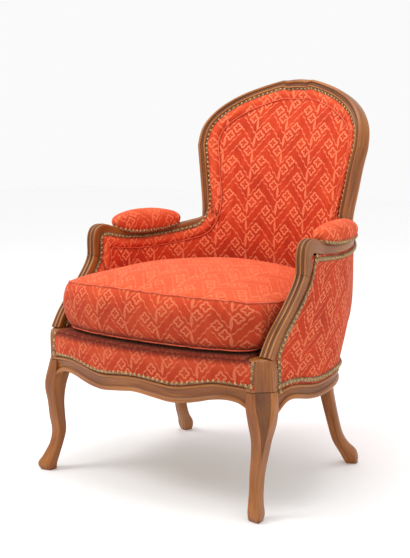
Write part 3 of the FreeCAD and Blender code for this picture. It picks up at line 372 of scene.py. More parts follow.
WOOD = waxed_wood("waxed_wood", (0.078, 0.019, 0.003), (0.240, 0.068, 0.010), (0.425, 0.150, 0.027))
BARE = bare_wood("frame_wood")
VELVET = cut_velvet("cut_velvet")
BRAID = plain_cloth("braid_thread", (0.28, 0.17, 0.08), (0.66, 0.50, 0.31), 5200.0, 0.6)
# Dark ground of the braid: partly its own colour, partly painted shade between the thread's loops.
BRAID_DARK = plain_cloth("dark_braid_ground_and_shade", (0.10, 0.045, 0.018), (0.26, 0.13, 0.06), 5200.0, 0.7)
CORD = plain_cloth("piping", (0.62, 0.070, 0.026), (0.86, 0.16, 0.07), 4200.0)
JUTE = plain_cloth("jute_webbing", (0.24, 0.16, 0.08), (0.50, 0.38, 0.22), 2600.0)
CANVAS = plain_cloth("hessian", (0.34, 0.26, 0.16), (0.60, 0.50, 0.34), 2400.0)
FILLING = plain_cloth("horsehair", (0.035, 0.012, 0.006), (0.11, 0.035, 0.016), 900.0)
NAIL = metal("aged_brass", (0.16, 0.085, 0.03), (0.58, 0.38, 0.17), 0.24)
STEEL = metal("spring_steel", (0.18, 0.18, 0.18), (0.50, 0.50, 0.51), 0.3)


# Mesh building

def finish_piece(thing, material, body="chair", replaces=()):
    thing.data.materials.append(material)
    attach(thing, body)
    if replaces:
        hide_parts(*replaces)


def placed(name, data):
    """A new object of the scene that holds a mesh, a lamp or a camera."""
    thing = bpy.data.objects.new(name, data)
    bpy.context.collection.objects.link(thing)
    return thing


def new_mesh(name, verts, faces, uvs=None, layer="cloth", **marks):
    """A mesh in metres from points in millimetres; uvs hold one pair per face corner."""
    verts = (np.array(verts, float) + (0, PLAN_SHIFT, 0)) * 0.001
    mesh = bpy.data.meshes.new(name)
    mesh.from_pydata(verts.tolist(), [], faces)
    if uvs is not None:
        data = mesh.uv_layers.new(name=layer).data
        data.foreach_set("uv", np.array(uvs, float).ravel())
    for key, values in marks.items():
        mark = mesh.attributes.new(key, "FLOAT", "POINT")
        mark.data.foreach_set("value", np.array(values, float))
    mesh.update()
    for polygon in mesh.polygons:
        polygon.use_smooth = True
    return placed(name, mesh)


def outward(thing):
    work = bmesh.new()
    work.from_mesh(thing.data)
    bmesh.ops.recalc_face_normals(work, faces=work.faces)
    work.to_mesh(thing.data)
    work.free()
    return thing


def sleeve(rows, girth, first=0, closed=False):
    """Faces round rows of points, with ends unless the last row joins the first."""
    faces = []
    for i in range(rows if closed else rows - 1):
        a, b = first + i * girth, first + (i + 1) % rows * girth
        faces += [(a + j, a + (j + 1) % girth, b + (j + 1) % girth, b + j) for j in range(girth)]
    if not closed:
        faces += [tuple(range(k, k + girth)) for k in (first, first + (rows - 1) * girth)]
    return faces


def turned(name, rings, wax=None, wear=None, sharp=38):
    """A closed solid through rings of points, with its grain along its length."""
    rings = np.array(rings)
    count, girth = rings.shape[:2]
    middle = rings.mean(axis=1)
    run = run_along(middle) / 1000
    loop = np.concatenate([rings[count // 2], rings[count // 2][:1]])
    girths = run_along(loop) / 1000
    uvs = [(run[i + a], girths[j + b]) for i in range(count - 1) for j in range(girth)
           for a, b in ((0, 0), (0, 1), (1, 1), (1, 0))]
    for end in (run[0], run[-1]):
        uvs += [(end, girths[j]) for j in range(girth)]
    total = count * girth
    wax = np.zeros(total) if wax is None else np.broadcast_to(wax, (count, girth)).ravel()
    wear = np.zeros(total) if wear is None else np.broadcast_to(wear, (count, girth)).ravel()
    thing = new_mesh(name, rings.reshape(-1, 3), sleeve(count, girth), uvs, "grain", wax=wax, wear=wear)
    outward(thing).data.set_sharp_from_angle(angle=math.radians(sharp))
    return thing


def hollows(outline, reach=2.2):
    """How far each point of a section lies in a hollow, and how far it stands out."""
    p = np.array(outline)
    n = len(p)
    length = np.linalg.norm(np.roll(p, -1, 0) - p, axis=1)
    area = 0.5 * np.sum(p[:, 0] * np.roll(p[:, 1], -1) - np.roll(p[:, 0], -1) * p[:, 1])
    sign = 1 if area > 0 else -1
    bend = np.zeros(n)
    for k in range(n):
        back, ahead, gone_back, gone_ahead = k, k, 0.0, 0.0
        while gone_back < reach:
            back = (back - 1) % n
            gone_back += length[back]
        while gone_ahead < reach:
            gone_ahead += length[ahead % n]
            ahead = (ahead + 1) % n
        u, v = p[k] - p[back], p[ahead] - p[k]
        bend[k] = sign * (u[0] * v[1] - u[1] * v[0]) / (np.linalg.norm(u) * np.linalg.norm(v) + 1e-9)
    return np.clip(-bend * 1.6, 0, 1), np.clip(bend * 1.1 - 0.15, 0, 1)


def wax_and_wear(outlines, reach=2.2):
    """Hollow and ridge marks of every ring of a piece, as two arrays: dark wax with painted shade, and wear
    with painted highlights.
    """
    return np.array([hollows(outline, reach) for outline in outlines]).transpose(1, 0, 2)


def moulded(name, sections, wax, wear, foot=(), reach=2.2, sharp=38):
    """A piece through rings and their outlines; foot darkens its first rings more, at the bottom of the
    piece.
    """
    rings, outlines = zip(*sections)
    hollow, ridge = wax_and_wear(outlines, reach)
    hollow = hollow * wax
    hollow[: len(foot)] += np.array(foot)[:, None]
    return turned(name, rings, hollow, ridge * wear, sharp)


def mirror(thing, name):
    """The same piece on the left side."""
    mesh = thing.data.copy()
    mesh.name = name
    points = np.zeros(len(mesh.vertices) * 3)
    mesh.vertices.foreach_get("co", points)
    points[::3] *= -1
    mesh.vertices.foreach_set("co", points)
    mesh.flip_normals()
    return placed(name, mesh)


def finish_pair(thing, material, nodes=()):
    """Finishes a right-hand piece and its mirrored left-hand one."""
    left = mirror(thing, thing.name.replace("_right", "_left"))
    for piece, hand in ((thing, "_right"), (left, "_left")):
        finish_piece(piece, material, replaces=[node + hand for node in nodes])


# Sections of the wood

def frame_section(width=28.0, depth=36.0, moulding=1.0):
    w, d, m = width / 2, depth / 2, moulding
    return eased([
        (-w, -d, 3), (-w, d - 8 * m, 0.6), (-w + 6, d - 8 * m, 0.5), (-w + 6, d - 2.6 * m, 1.6),
        (-w + 7.6, d, 1.8), (-w + 10.2, d - 0.4, 1.4), (-w + 11.6, d - 3.4 * m, 1.0),
        (0, d - 5.6 * m, 3), (w - 9.6, d - 4.6 * m, 1.4), (w - 8.6, d - 1.6 * m, 1.2),
        (w - 5.2, d - 0.2, 2.4), (w - 1.4, d - 4.2, 3), (w, d - 11, 3), (w, -d + 6, 4), (w - 5, -d, 3),
    ])


def support_section(width=28.0, depth=30.0):
    w, d = width / 2, depth / 2
    f = w * 0.28
    return eased([
        (-w, -d + 3, 3), (-w, d - 6, 2), (-w + 1.4, d - 1.4, 1.8), (-w + 4.4, d - 0.8, 1.4),
        (-w + 5.4, d - 3.6, 1.0), (-w + 5.4 + f, d - 4.6, 1.6), (-2.6, d - 3.2, 1.0), (-1.7, d - 0.2, 1.2),
        (1.7, d - 0.2, 1.2), (2.6, d - 3.2, 1.0), (w - 5.4 - f, d - 4.6, 1.6), (w - 5.4, d - 3.6, 1.0),
        (w - 4.4, d - 0.8, 1.4), (w - 1.4, d - 1.4, 1.8), (w, d - 6, 2), (w, -d + 3, 3), (w - 3, -d, 2),
        (-w + 3, -d, 2),
    ])


def rail_section(low, nail, thick, ledge):
    floor = max(low + 1, ledge)
    return eased([
        (thick, RAIL_TOP, 1), (4, RAIL_TOP, 1), (4, nail, 0.5), (0.6, nail, 0.8), (-1.6, nail - 2.4, 1.6),
        (-1.4, nail - 5.2, 1.4), (1.4, nail - 7.4, 1.2), (5.2, mix(low, nail, 0.56), 4),
        (3.8, low + 12, 2), (0.2, low + 10.4, 1.4), (-2.0, low + 7, 2.4), (-1.0, low + 1.6, 2.4),
        (3, low, 1.5), (thick - 13, low, 1), (thick - 13, floor, 0.6), (thick, floor, 0.6),
    ], 1.0, 1)


# Rear legs, stiles and crest

# Places of the rear leg on the floor and at the seat rail.
REAR_FOOT, REAR_JOINT = (263, 204), (230, RAIL_BACK)
stile_guide = Guide(
    [(mix(REAR_FOOT[0], REAR_JOINT[0], g), mix(REAR_FOOT[1], REAR_JOINT[1], g), RAIL_LOW * f)
     for f, g in [(0.0, 0.0), (0.08, 0.07), (0.16, 0.23), (0.24, 0.40), (0.32, 0.53), (0.42, 0.63),
                  (0.56, 0.74), (0.74, 0.87)]]
    + [back_at(mix(REAR_JOINT[0], WAIST, g), mix(RAIL_LOW, ARM_LEVEL, f))
       for f, g in [(0.0, 0.0), (0.22, 0.2), (0.40, 0.4), (0.62, 0.66), (0.90, 0.95)]]
    + [back_at(mix(WAIST, BACK_HALF, g), mix(ARM_LEVEL, CREST_LEVEL, f))
       for f, g in [(0.10, 0.0), (0.27, 0.33), (0.42, 0.64), (0.56, 1.0)]]
)
half_crest = [back_at(BACK_HALF * g, mix(ARM_LEVEL, CREST_LEVEL, f))
              for f, g in [(0.56, 1.0), (0.67, 0.985), (0.785, 0.88), (0.885, 0.672), (0.965, 0.355)]]
crest_guide = Guide(half_crest + [back_at(0, 938.2)] + [p * (-1, 1, 1) for p in reversed(half_crest)])


def back_place(guide, s):
    centre, along = guide.at(s), guide.along(s)
    return station(centre, along, np.cross(along, back_facing(centre[0], centre[2])))


leg_swell = graph(
    [(0, 0.86), (0.02, 0.97), (0.05, 1.09), (0.10, 1.14), (0.18, 0.98), (0.32, 0.94), (0.6, 1), (1, 1.17),
     (1.2, 1.19)])


def make_stile():
    sections = []
    for s in np.linspace(0, 1, 120) ** 1.2:
        here = stile_guide.at(s)
        if here[2] < RAIL_LOW + 20:
            place = station(here, stile_guide.along(s), (0.94, 0.34, 0))
            if s == 0:
                place = (here, unit((0.94, 0.34, 0)), unit((0.34, -0.94, 0)))
            wide = 28 * leg_swell(here[2] / RAIL_LOW)
            outline = frame_section(wide, wide, 0.12)
        else:
            full = min(1, (here[2] - RAIL_LOW - 20) / 60)
            place = back_place(stile_guide, s)
            outline = frame_section(mix(33, 28, full), mix(33, 36, full), mix(0.12, 1, full))
        if s == 1:
            place = back_place(crest_guide, 0)
        sections.append((ring(place, outline), outline))
    thing = moulded("back_stile_right", sections, 0.55, 0.7, (0.5, 0.35, 0.2, 0.1))
    finish_pair(thing, WOOD, ["back_stile"])


def make_crest():
    outline = frame_section()
    wax, wear = hollows(outline)
    rings = [ring(back_place(crest_guide, s), outline) for s in np.linspace(0, 1, 150)]
    thing = turned("crest_rail_moulded", rings, wax * 0.6, wear * 0.8)
    finish_piece(thing, WOOD, replaces=["crest_rail"])


# Arm supports and arm rails

ARM_BASE, ARM_MID = 342.0, ARM_LEVEL - 13
arm_guide = Guide(
    [(mix(305, 309, g), mix(-248, -124, f), mix(ARM_BASE, ARM_MID - 8, u))
     for u, f, g in [(0, 0, 0), (0.17, 0.19, 0.17), (0.37, 0.53, 0.42), (0.59, 0.88, 0.60),
                     (0.80, 1.09, 0.72)]]
    + [(309 - a, -122 + b, ARM_MID + c) for a, b, c in [
        (1, 13, -8), (1, 19, 5), (2, 33, 10.5), (4, 52, 8), (8, 80, 0.5), (11, 118, -6), (15, 166, -8.5),
        (22, 214, -7), (34, 258, -3), (54, 298, 3), (78, 331, 12), (100, 354, 27)]]
    + [back_at(WAIST, ARM_MID + 52) - back_facing(WAIST, ARM_MID + 52) * 5]
)
# Shares of the arm's line: where the closed side runs under it, and one past the support.
ARM_REAR, PAST_SUPPORT = (0.52, 0.95), 0.45


def support_share(z):
    """The share at which the arm support reaches a height."""
    return arm_guide.where(2, z, 0, PAST_SUPPORT)


ARM_JOINT = support_share(ARM_LEVEL - 66)


def arm_place(s):
    centre, along = arm_guide.at(s), arm_guide.along(s)
    lean = min(1, max(0, (s - 0.55) / 0.4))
    plan = unit((along[1], -along[0], 0))
    return station(centre, along, np.array((1, 0.05, 0)) * (1 - lean) + plan * lean)


def arm_depth(s):
    depth = mix(30, ARM_DEEP, min(1, max(0, (s - 0.5) / 0.15)))
    return depth + 7 * max(0, 1 - abs(s - ARM_JOINT - 0.09) / 0.08)


def arm_piece(name, low, high, count, nodes):
    shares = np.linspace(low, high, count)
    outlines = [support_section(28, arm_depth(s)) for s in shares]
    rings = [ring(arm_place(s), outline) for s, outline in zip(shares, outlines)]
    wax, wear = wax_and_wear(outlines)
    # The rail is darker round its scroll, just past the support.
    scroll = np.clip(1 - np.abs(shares - ARM_JOINT - 0.05) / 0.10, 0, 1)[:, None]
    wax = np.clip(wax * 0.75 + 0.75 * scroll * (0.35 + wax), 0, 1)
    wear = wear * (0.8 + 0.5 * (shares < ARM_JOINT)[:, None])
    finish_pair(turned(name, rings, wax, wear), WOOD, nodes)


# Front legs with the blocks above them

def corner_section(height, reach, set_in, side, face, kick, sink, radius):
    """A square set cornerwise, flat or arrised on its corner, with a sunk panel."""
    h = side / math.sqrt(2)
    out, across = unit((1, -1, 0)), unit((1, 1, 0))
    middle = CORNER + out * (reach + h) - across * set_in + (0, 0, height)
    g = face / 2
    flat = (h + kick) * (1 - g / h)
    outline = eased([
        (-h, 0, radius), (0, -h, radius + 1), (flat, -g, 2), (flat, -0.74 * g, 0.8),
        (flat - sink, -0.62 * g, 0.8), (flat - sink, 0.62 * g, 0.8), (flat, 0.74 * g, 0.8), (flat, g, 2),
        (0, h, radius + 1),
    ], 2, 3)
    return [middle + out * p + across * q for p, q in outline], outline


# Front leg by share of its height: reach, set-in, side, face, kick and sunk depth.
LEG = [
    (0.0, 37, 15, 24, 7, 9, 0.2), (0.05, 36, 15, 28, 6, 12, 0.2), (0.15, 29, 14, 26, 4, 7, 0.2),
    (0.27, 20, 11, 25, 4, 1, 0.2), (0.40, 12.5, 8, 26.5, 4, 0, 0.2), (0.56, 14, 4, 29.5, 5, 0, 0.2),
    (0.73, 15, 1, 35, 14, 0, 1.6), (0.88, 10, 0, 46, 29, 4, 2.6),
]


def make_front_leg():
    rows = [(RAIL_LOW * f, *rest) for f, *rest in LEG]
    rows += [(mix(RAIL_LOW, LEG_TOP, 0.2), 0, 0, 53, 47, 10, 2.8), (LEG_TOP, 0, 0, 50, 48, 0, 2.8)]
    columns = [graph([(row[0], row[k]) for row in rows]) for k in range(1, 7)]
    sections = []
    for height in np.linspace(0, LEG_TOP - 0.6, 90):
        values = [column(height) for column in columns]
        values[5] = max(0.05, values[5])
        sections.append(corner_section(height, *values, radius=3.2))
    thing = moulded("front_leg_right", sections, 0.8, 0.5, np.linspace(0.5, 0, 5), 1.6, 50)
    finish_pair(thing, WOOD, ["front_leg"])


# Corner block by height: side, face and depth of its sunk panel.
BLOCK_RINGS = [
    (LEG_TOP + 0.5, 49.4, 47, 1.4), (LEG_TOP + 2, 50, 47.6, 1.4), (300, 49.4, 45, 1.4), (318, 48.6, 42, 1.3),
    (330, 47, 38, 1.2), (339, 44.5, 34, 1.0), (343.5, 40, 29, 0.6), (345.5, 33, 22, 0.4),
]


def block_front(x, z):
    """How far forward the corner block stands at a place of its front."""
    table = np.array(BLOCK_RINGS)
    side, face, sink = [float(np.interp(z, table[:, 0], table[:, k])) for k in (1, 2, 3)]
    points, _ = corner_section(z, 0, 0, side, face, 0, sink, 2.0)
    points = np.array(points)
    points = np.concatenate([points, points[:1]])
    best = 1e9
    for p, q in zip(points, points[1:]):
        if min(p[0], q[0]) <= x <= max(p[0], q[0]) and abs(p[0] - q[0]) > 1e-6:
            best = min(best, mix(p[1], q[1], (x - p[0]) / (q[0] - p[0])))
    return best


def make_blocks():
    rings, outlines = zip(*[corner_section(height, 0, 0, side, face, 0, sink, 2.0)
                            for height, side, face, sink in BLOCK_RINGS])
    wax, wear = wax_and_wear(outlines, 1.6)
    wax = wax * 0.5
    # The lowest ring, where the block stands on the leg, is darker.
    wax[0] += 0.6
    finish_pair(turned("leg_block_right", rings, np.clip(wax, 0, 1), wear * 0.6, 50), WOOD)


# Seat rails

graph_edge = graph([
    (-0.2, 3), (0, 8), (0.2, 2.5), (0.37, -2), (0.5, 1.5), (0.6, 7), (0.7, 14), (0.8, 17.8), (0.88, 16.8),
    (0.94, 13), (1, 3), (1.1, -20)])
graph_nail = graph([
    (-0.1, 4), (0, 5), (0.1, 4), (0.25, 0), (0.35, -2.5), (0.45, -0.5), (0.55, 4.5), (0.65, 10), (0.75, 14),
    (0.85, 13.6), (0.95, 11.5), (1.1, 7)])
side_low = graph([
    (-0.05, -24), (0, -11), (0.03, -2), (0.06, 6), (0.1, 11.5), (0.14, 12.6), (0.2, 9), (0.27, 3.5),
    (0.36, 0), (0.46, 2), (0.56, 7), (0.68, 12), (0.8, 14), (0.92, 12), (1.1, 8)])
side_nail = graph([
    (-0.05, 33), (0, 36), (0.055, 41), (0.1, 44), (0.175, 43), (0.26, 37.5), (0.35, 33.5), (0.43, 34.3),
    (0.53, 38), (0.65, 41), (0.8, 42), (1.1, 40)])


def front_face(x):
    return CORNER[1] - BLOCK + 1 - 40 * (1 - (x / CORNER[0]) ** 2)


def front_nail(x):
    return RAIL_LOW + 38 + graph_nail(abs(x) / CORNER[0])


# Plan of a side rail: half widths at its front, at its widest and at its rear end.
SIDE_FRONT, SIDE_WIDE, SIDE_REAR, SIDE_END = 326, 338, 239, 122
side_guide = Guide([(x, mix(CORNER[1], SIDE_END, g), 0) for x, g in [
    (SIDE_FRONT, 0), (mix(SIDE_FRONT, SIDE_WIDE, 0.85), 0.26), (SIDE_WIDE, 0.47), (327, 0.68),
    (mix(SIDE_WIDE, SIDE_REAR, 0.48), 0.86), (SIDE_REAR, 1)]])


def make_rails():
    sections = []
    for share in np.linspace(-1, 1, 150):
        x = (CORNER[0] + 1) * share * (1.25 - 0.25 * share ** 2)
        outline = rail_section(RAIL_LOW + graph_edge(abs(x) / CORNER[0]), front_nail(x), 32, 250)
        sections.append(([(x, front_face(x) + a, b) for a, b in outline], outline))
    thing = moulded("front_rail_moulded", sections, 0.6, 0.9)
    finish_piece(thing, WOOD, replaces=["front_rail"])

    sections = []
    for s in np.linspace(0, 1, 110) ** 1.25:
        outer, along = side_guide.at(s), side_guide.along(s)
        if s == 0:
            along = np.array((0.0, 1.0, 0.0))
        inward = np.array((-along[1], along[0], 0))
        low = RAIL_LOW + side_low(s)
        outline = rail_section(low, RAIL_LOW + side_nail(s), 28, 248)
        sections.append(([outer + inward * a + (0, 0, b) for a, b in outline], outline))
    finish_pair(moulded("side_rail_right", sections, 0.6, 0.9), WOOD, ["side_rail"])

    rings = []
    outline = eased([(0, 239, 2), (28, 239, 2), (28, 300, 1), (0, 300, 1)], 2, 2)
    for x in np.linspace(-222, 222, 60):
        y = 106 + 33.6 * (1 - (x / 226) ** 2)
        rings.append([(x, y + a, b) for a, b in outline])
    thing = turned("back_rail_sawn", rings)
    finish_piece(thing, WOOD, replaces=["back_rail"])


make_stile()
make_crest()
arm_piece("arm_support_right", 0.0, ARM_JOINT - 0.0015, 60, ["arm_support"])
arm_piece("arm_rail_right", ARM_JOINT, 1.0, 170, ["arm_rail"])
make_front_leg()
make_blocks()
make_rails()


# Cloth pieces

def sheet_mesh(name, grid, thick, uv, inward=None, **marks):
    """A closed sheet: a grid of points in millimetres with a thickness behind it."""
    grid = np.array(grid, float)
    rows, columns = grid.shape[:2]
    normal = facings(grid)
    if inward is not None:
        turn = np.sign((normal * (np.array(inward) - grid)).sum(axis=2))
        normal = normal * np.sign(np.median(turn))
    rear = grid - normal * thick
    verts = np.concatenate([grid.reshape(-1, 3), rear.reshape(-1, 3)])
    total = rows * columns
    faces, corners = [], []

    def add(a, b, c, d):
        faces.append((a, b, c, d))
        corners.extend((a % total, b % total, c % total, d % total))

    for i in range(rows - 1):
        for j in range(columns - 1):
            a = i * columns + j
            b, c, d = a + 1, a + columns + 1, a + columns
            add(a, b, c, d)
            add(a + total, d + total, c + total, b + total)
    for j in range(columns - 1):
        for i in (0, rows - 1):
            a = i * columns + j
            add(a, a + total, a + 1 + total, a + 1)
    for i in range(rows - 1):
        for j in (0, columns - 1):
            a = i * columns + j
            add(a, a + columns, a + columns + total, a + total)
    flat = np.array(uv, float).reshape(-1, 2) / 1000
    doubled = {key: np.tile(np.array(v, float).ravel(), 2) for key, v in marks.items()}
    thing = new_mesh(name, verts, faces, flat[corners], **doubled)
    return outward(thing)


def look_up(table, row, column):
    """Values of a table between its rows and columns."""
    row = np.clip(row, 0, table.shape[0] - 1.001)
    column = np.clip(column, 0, table.shape[1] - 1.001)
    i, j = row.astype(int), column.astype(int)
    u, v = row - i, column - j
    return ((1 - u) * (1 - v) * table[i, j] + (1 - u) * v * table[i, j + 1]
            + u * (1 - v) * table[i + 1, j] + u * v * table[i + 1, j + 1])


def side_at(share, z, inset):
    """A point of the closed side, share 0 at the support and 1 at the stile."""
    low, low_along = side_guide.at(share), side_guide.along(share)
    s = mix(*ARM_REAR, share)
    high, high_along = arm_guide.at(s), arm_guide.along(s)
    inward_low = np.array((-low_along[1], low_along[0], 0))
    inward_high = unit((-high_along[1], high_along[0], 0))
    front_y = CORNER[1]
    if z > ARM_BASE:
        front_y = arm_guide.at(support_share(z))[1] + 16
    start_y = arm_guide.at(ARM_REAR[0])[1]
    front = (front_y - CORNER[1]) / (start_y - CORNER[1])
    top = ARM_LEVEL - 35
    sweep = max(0, rake(min(z, top)) - rake(RAIL_TOP)) / (rake(top) - rake(RAIL_TOP))
    flare = mix(max(0, front), sweep, min(1, share * 1.1))
    inward = unit(inward_low * (1 - flare) + inward_high * flare)
    outer = np.array((high[0], high[1], 0)) - inward_high * 11
    point = low + (outer - low) * flare + inward * inset
    return np.array((point[0], point[1], z))


def arm_under(share):
    centre, _, face = arm_place(mix(*ARM_REAR, share))
    return (centre - face * 13)[2]


def padding(rise):
    return 24 + 17 * math.sin(math.pi * min(1, 0.35 + 0.65 * min(1, rise))) ** 0.7


LEVELS = np.linspace(330, 940, 62)
TURNS = np.radians(np.linspace(-128, 128, 257))


def eye_y(z):
    """The middle that the inside cloth is seen from, at a height."""
    return -60 - 0.33 * max(0.0, z - 560)


def inside_table():
    """How far the inside cloth lies from the middle, by height and by turn."""
    far = 900.0
    table = np.zeros((len(LEVELS), len(TURNS)))
    for i, z in enumerate(LEVELS):
        middle = eye_y(z)
        xs = np.linspace(-262, 262, 60)
        rise = (z - 300) / 650
        depth = [12.8 + 15 * max(0, 1 - (x / 232) ** 2) * math.sin(math.pi * rise) ** 0.6 for x in xs]
        pts = np.array([back_at(x, z) + back_facing(x, z) * d for x, d in zip(xs, depth)])
        turn = np.arctan2(pts[:, 0], pts[:, 1] - middle)
        reach = np.hypot(pts[:, 0], pts[:, 1] - middle)
        back = np.interp(TURNS, turn, reach, left=far, right=far)
        level = min(z, 566)
        side = []
        for s in np.linspace(0, 1, 40):
            rise = (level - RAIL_TOP) / (arm_under(s) - RAIL_TOP)
            side.append(side_at(s, level, padding(rise)))
        side = np.array(side)
        lead = side[0] + (side[0] - side[2]) * 6
        tail = side[-1] + (side[-1] - side[-3]) * 3
        side = np.concatenate([[lead], side, [tail]])
        turn = np.arctan2(side[:, 0], side[:, 1] - middle)[::-1]
        reach = np.hypot(side[:, 0], side[:, 1] - middle)[::-1]
        one = np.interp(np.abs(TURNS), turn, reach, left=far)
        one = one + np.where(np.abs(TURNS) < turn[0], 900 * (turn[0] - np.abs(TURNS)), 0)
        one = one + max(0, z - 600) * 3
        k = 13.0
        low = np.minimum(back, one)
        table[i] = low - k * np.log(np.exp(-(back - low) / k) + np.exp(-(one - low) / k))
    return table


INSIDE = inside_table()
HEIGHTS = np.concatenate([[0], np.cumsum([
    math.hypot(b - a, rake(b) - rake(a)) for a, b in zip(LEVELS, LEVELS[1:])])])
EYES = np.array([eye_y(z) for z in LEVELS])


def table_place(turn, z):
    """Row and column of the inside tables for a turn and a height."""
    return (z - LEVELS[0]) / (LEVELS[1] - LEVELS[0]), (turn - TURNS[0]) / (TURNS[1] - TURNS[0])


def inside_points(turn, z):
    reach = look_up(INSIDE, *table_place(turn, z))
    middle = np.interp(z, LEVELS, EYES)
    return np.stack([reach * np.sin(turn), middle + reach * np.cos(turn), z], axis=-1)


def length_table():
    """How far round the cloth each turn lies from the middle of the back."""
    table = np.zeros_like(INSIDE)
    middle = len(TURNS) // 2
    for i, z in enumerate(LEVELS):
        pts = inside_points(TURNS, np.full(len(TURNS), z))
        run = run_along(pts)
        table[i] = run - run[middle]
    return table


ROUND = length_table()


def inside_uv(turn, z):
    return np.stack([look_up(ROUND, *table_place(turn, z)), np.interp(z, LEVELS, HEIGHTS)], axis=-1)


def from_uv(uv):
    """The point of the inside cloth at a place of its flat pattern."""
    pts = []
    for u, v in uv:
        z = float(np.interp(v, HEIGHTS, LEVELS))
        row = table_place(0, z)[0]
        i = int(min(len(LEVELS) - 2, max(0, row)))
        line = mix(ROUND[i], ROUND[i + 1], row - i)
        pts.append((float(np.interp(u, line, TURNS)), z))
    pts = np.array(pts)
    return pts[:, 0], pts[:, 1]


def inside_edge():
    """Nailed edge of the inside cloth, right support base to the middle of the crest."""
    points, facing = [], []

    def add(place, a, b, look):
        centre, side, face = place
        points.append(centre + side * a + face * b)
        facing.append(unit(side * look[0] + face * look[1]))

    for s in np.linspace(0.02, 0.40, 14):
        add(arm_place(s), -14.6, -8.5, (-1, 0))
    for s in np.linspace(0.47, 0.905, 20):
        drop = mix(-9, -5, min(1, (s - 0.47) / 0.1))
        add(arm_place(s), -14.6, drop, (-1, 0.1))
    first = stile_guide.where(2, 640)
    for s in np.linspace(first, 0.995, 12):
        add(back_place(stile_guide, s), -11, 10.6, (-0.25, 1))
    for s in np.linspace(0.02, 0.5, 24):
        add(back_place(crest_guide, s), -11, 10.6, (-0.25, 1))
    right, facing = Guide(points), np.array(facing)
    shares = np.linspace(0, 1, 190)
    edge = [right.at(s) for s in shares]
    aim = [unit([np.interp(s, right.t, facing[:, k]) for k in range(3)]) for s in shares]
    return np.array(edge), np.array(aim)


def both_halves(points):
    left = points[:-1] * (-1, 1, 1)
    return np.concatenate([left, points[::-1]])


def offset_line(uv, distance):
    """A line of the flat pattern moved sideways, with its loops taken out."""
    along = np.gradient(uv, axis=0)
    along /= np.linalg.norm(along, axis=1, keepdims=True)
    moved = uv + np.stack([along[:, 1], -along[:, 0]], axis=1) * distance
    keep = []
    for k, p in enumerate(moved):
        if np.min(np.linalg.norm(uv - p, axis=1)) > distance * 0.97:
            keep.append(k)
    return moved[keep]


def inside_cloth():
    """Inside of arms and back in one padded cover, with a roll along its nailed edge."""
    edge, aim = inside_edge()
    edge, aim = both_halves(edge), both_halves(aim)
    middle = np.array([eye_y(z) for z in edge[:, 2]])
    turn = np.arctan2(edge[:, 0], edge[:, 1] - middle)
    turn = np.maximum.accumulate(turn) + 1e-4 * np.arange(len(turn))
    top = edge[:, 2]
    shift = edge - inside_points(turn, top)
    rows = 84
    share = np.linspace(0, 1, rows)[:, None] ** 0.9
    low = 338.0
    z = low + (top[None, :] - low) * share
    turns = np.broadcast_to(turn[None, :], z.shape)
    points = inside_points(turns, z)
    uv = inside_uv(turns, z)
    edge_uv = inside_uv(turn, top)
    gap = np.full(z.shape, 1e9)
    near = np.zeros(z.shape, int)
    for k, place in enumerate(edge_uv):
        d = np.linalg.norm(uv - place, axis=2)
        closer = d < gap
        gap = np.where(closer, d, gap)
        near = np.where(closer, k, near)
    pull = np.exp(-(gap / 16.0) ** 2)[..., None]
    points = points + pull * shift[near]
    normal = facings(points)
    heart = np.array((0, -60, 0)) - points
    heart[..., 2] = 0
    normal *= np.sign((normal * heart).sum(axis=2, keepdims=True))
    roll = 6.5 * np.sin(np.pi * np.clip(gap / 30, 0, 1)) ** 0.8
    panel = 4.0 * (1 - np.exp(-np.clip(gap - ROLL_WIDE, 0, None) / 22)) * np.clip((z - 470) / 60, 0, 1)
    groove = -3.0 * np.exp(-((gap - ROLL_WIDE) / 2.6) ** 2)
    ends = np.clip((z - low) / 10, 0, 1)
    points = points + normal * ((roll + panel + groove) * ends)[..., None]
    # Painted shade: a dark line just below the seam's groove, and darkening along the nailed edge.
    shade = np.clip(0.36 * np.exp(-((gap - 30) / 2.2) ** 2) + 0.35 * np.exp(-(gap / 4.0) ** 2), 0, 1)
    rubbed = np.clip(0.50 * np.exp(-((gap - 13) / 9) ** 2), 0, 1)
    flat = np.clip((uv[..., 1] - 160) / 300, 0, 1)
    rubbed = np.maximum(rubbed, 0.06 * flat)
    thing = sheet_mesh("inside_velvet", points, 2.2, uv, inward=(0, -60, 500), shade=shade, rubbed=rubbed)
    finish_piece(thing, VELVET,
                 replaces=["inside_arm_cover_left", "inside_arm_cover_right", "inside_back_cover",
                           "inside_arm_stuffing_left", "inside_arm_stuffing_right"])
    seam_uv = offset_line(edge_uv, ROLL_WIDE)
    inside = seam_uv[:, 1] > inside_uv(np.zeros(1), np.full(1, low + 4.0))[0, 1]
    seam_uv = seam_uv[inside]
    t, h = from_uv(seam_uv)
    line = inside_points(t, h)
    wide = z.shape[1]
    cells = [(i * wide + j, i * wide + j + 1, (i + 1) * wide + j + 1, (i + 1) * wide + j)
             for i in range(rows - 1) for j in range(wide - 1)]
    tree = BVHTree.FromPolygons([Vector(p) for p in points.reshape(-1, 3)], cells)
    path = []
    for p in line:
        spot, face, _, _ = tree.find_nearest(Vector(p))
        aim_in = Vector((-p[0], -60 - p[1], 0)).normalized()
        if face.dot(aim_in) < 0:
            face = -face
        path.append(np.array(spot) + np.array(face) * 1.6)
    return edge, aim, np.array(path)


def tube(name, path, radius, sides, closed=False):
    """A round cord along points in millimetres."""
    path = np.array(path, float)
    along = np.gradient(path, axis=0)
    if closed:
        along[0] = along[-1] = path[1] - path[-2]
    along /= np.linalg.norm(along, axis=1, keepdims=True)
    side = unit(np.cross(along[0], (0.13, 0.21, 0.97)))
    rings = []
    for p, a in zip(path, along):
        side = unit(side - a * side.dot(a))
        other = np.cross(a, side)
        rings.append([p + (side * math.cos(t) + other * math.sin(t)) * radius
                      for t in np.linspace(0, 2 * math.pi, sides, endpoint=False)])
    faces = sleeve(len(rings), sides, closed=closed)
    return outward(new_mesh(name, np.array(rings).reshape(-1, 3), faces))


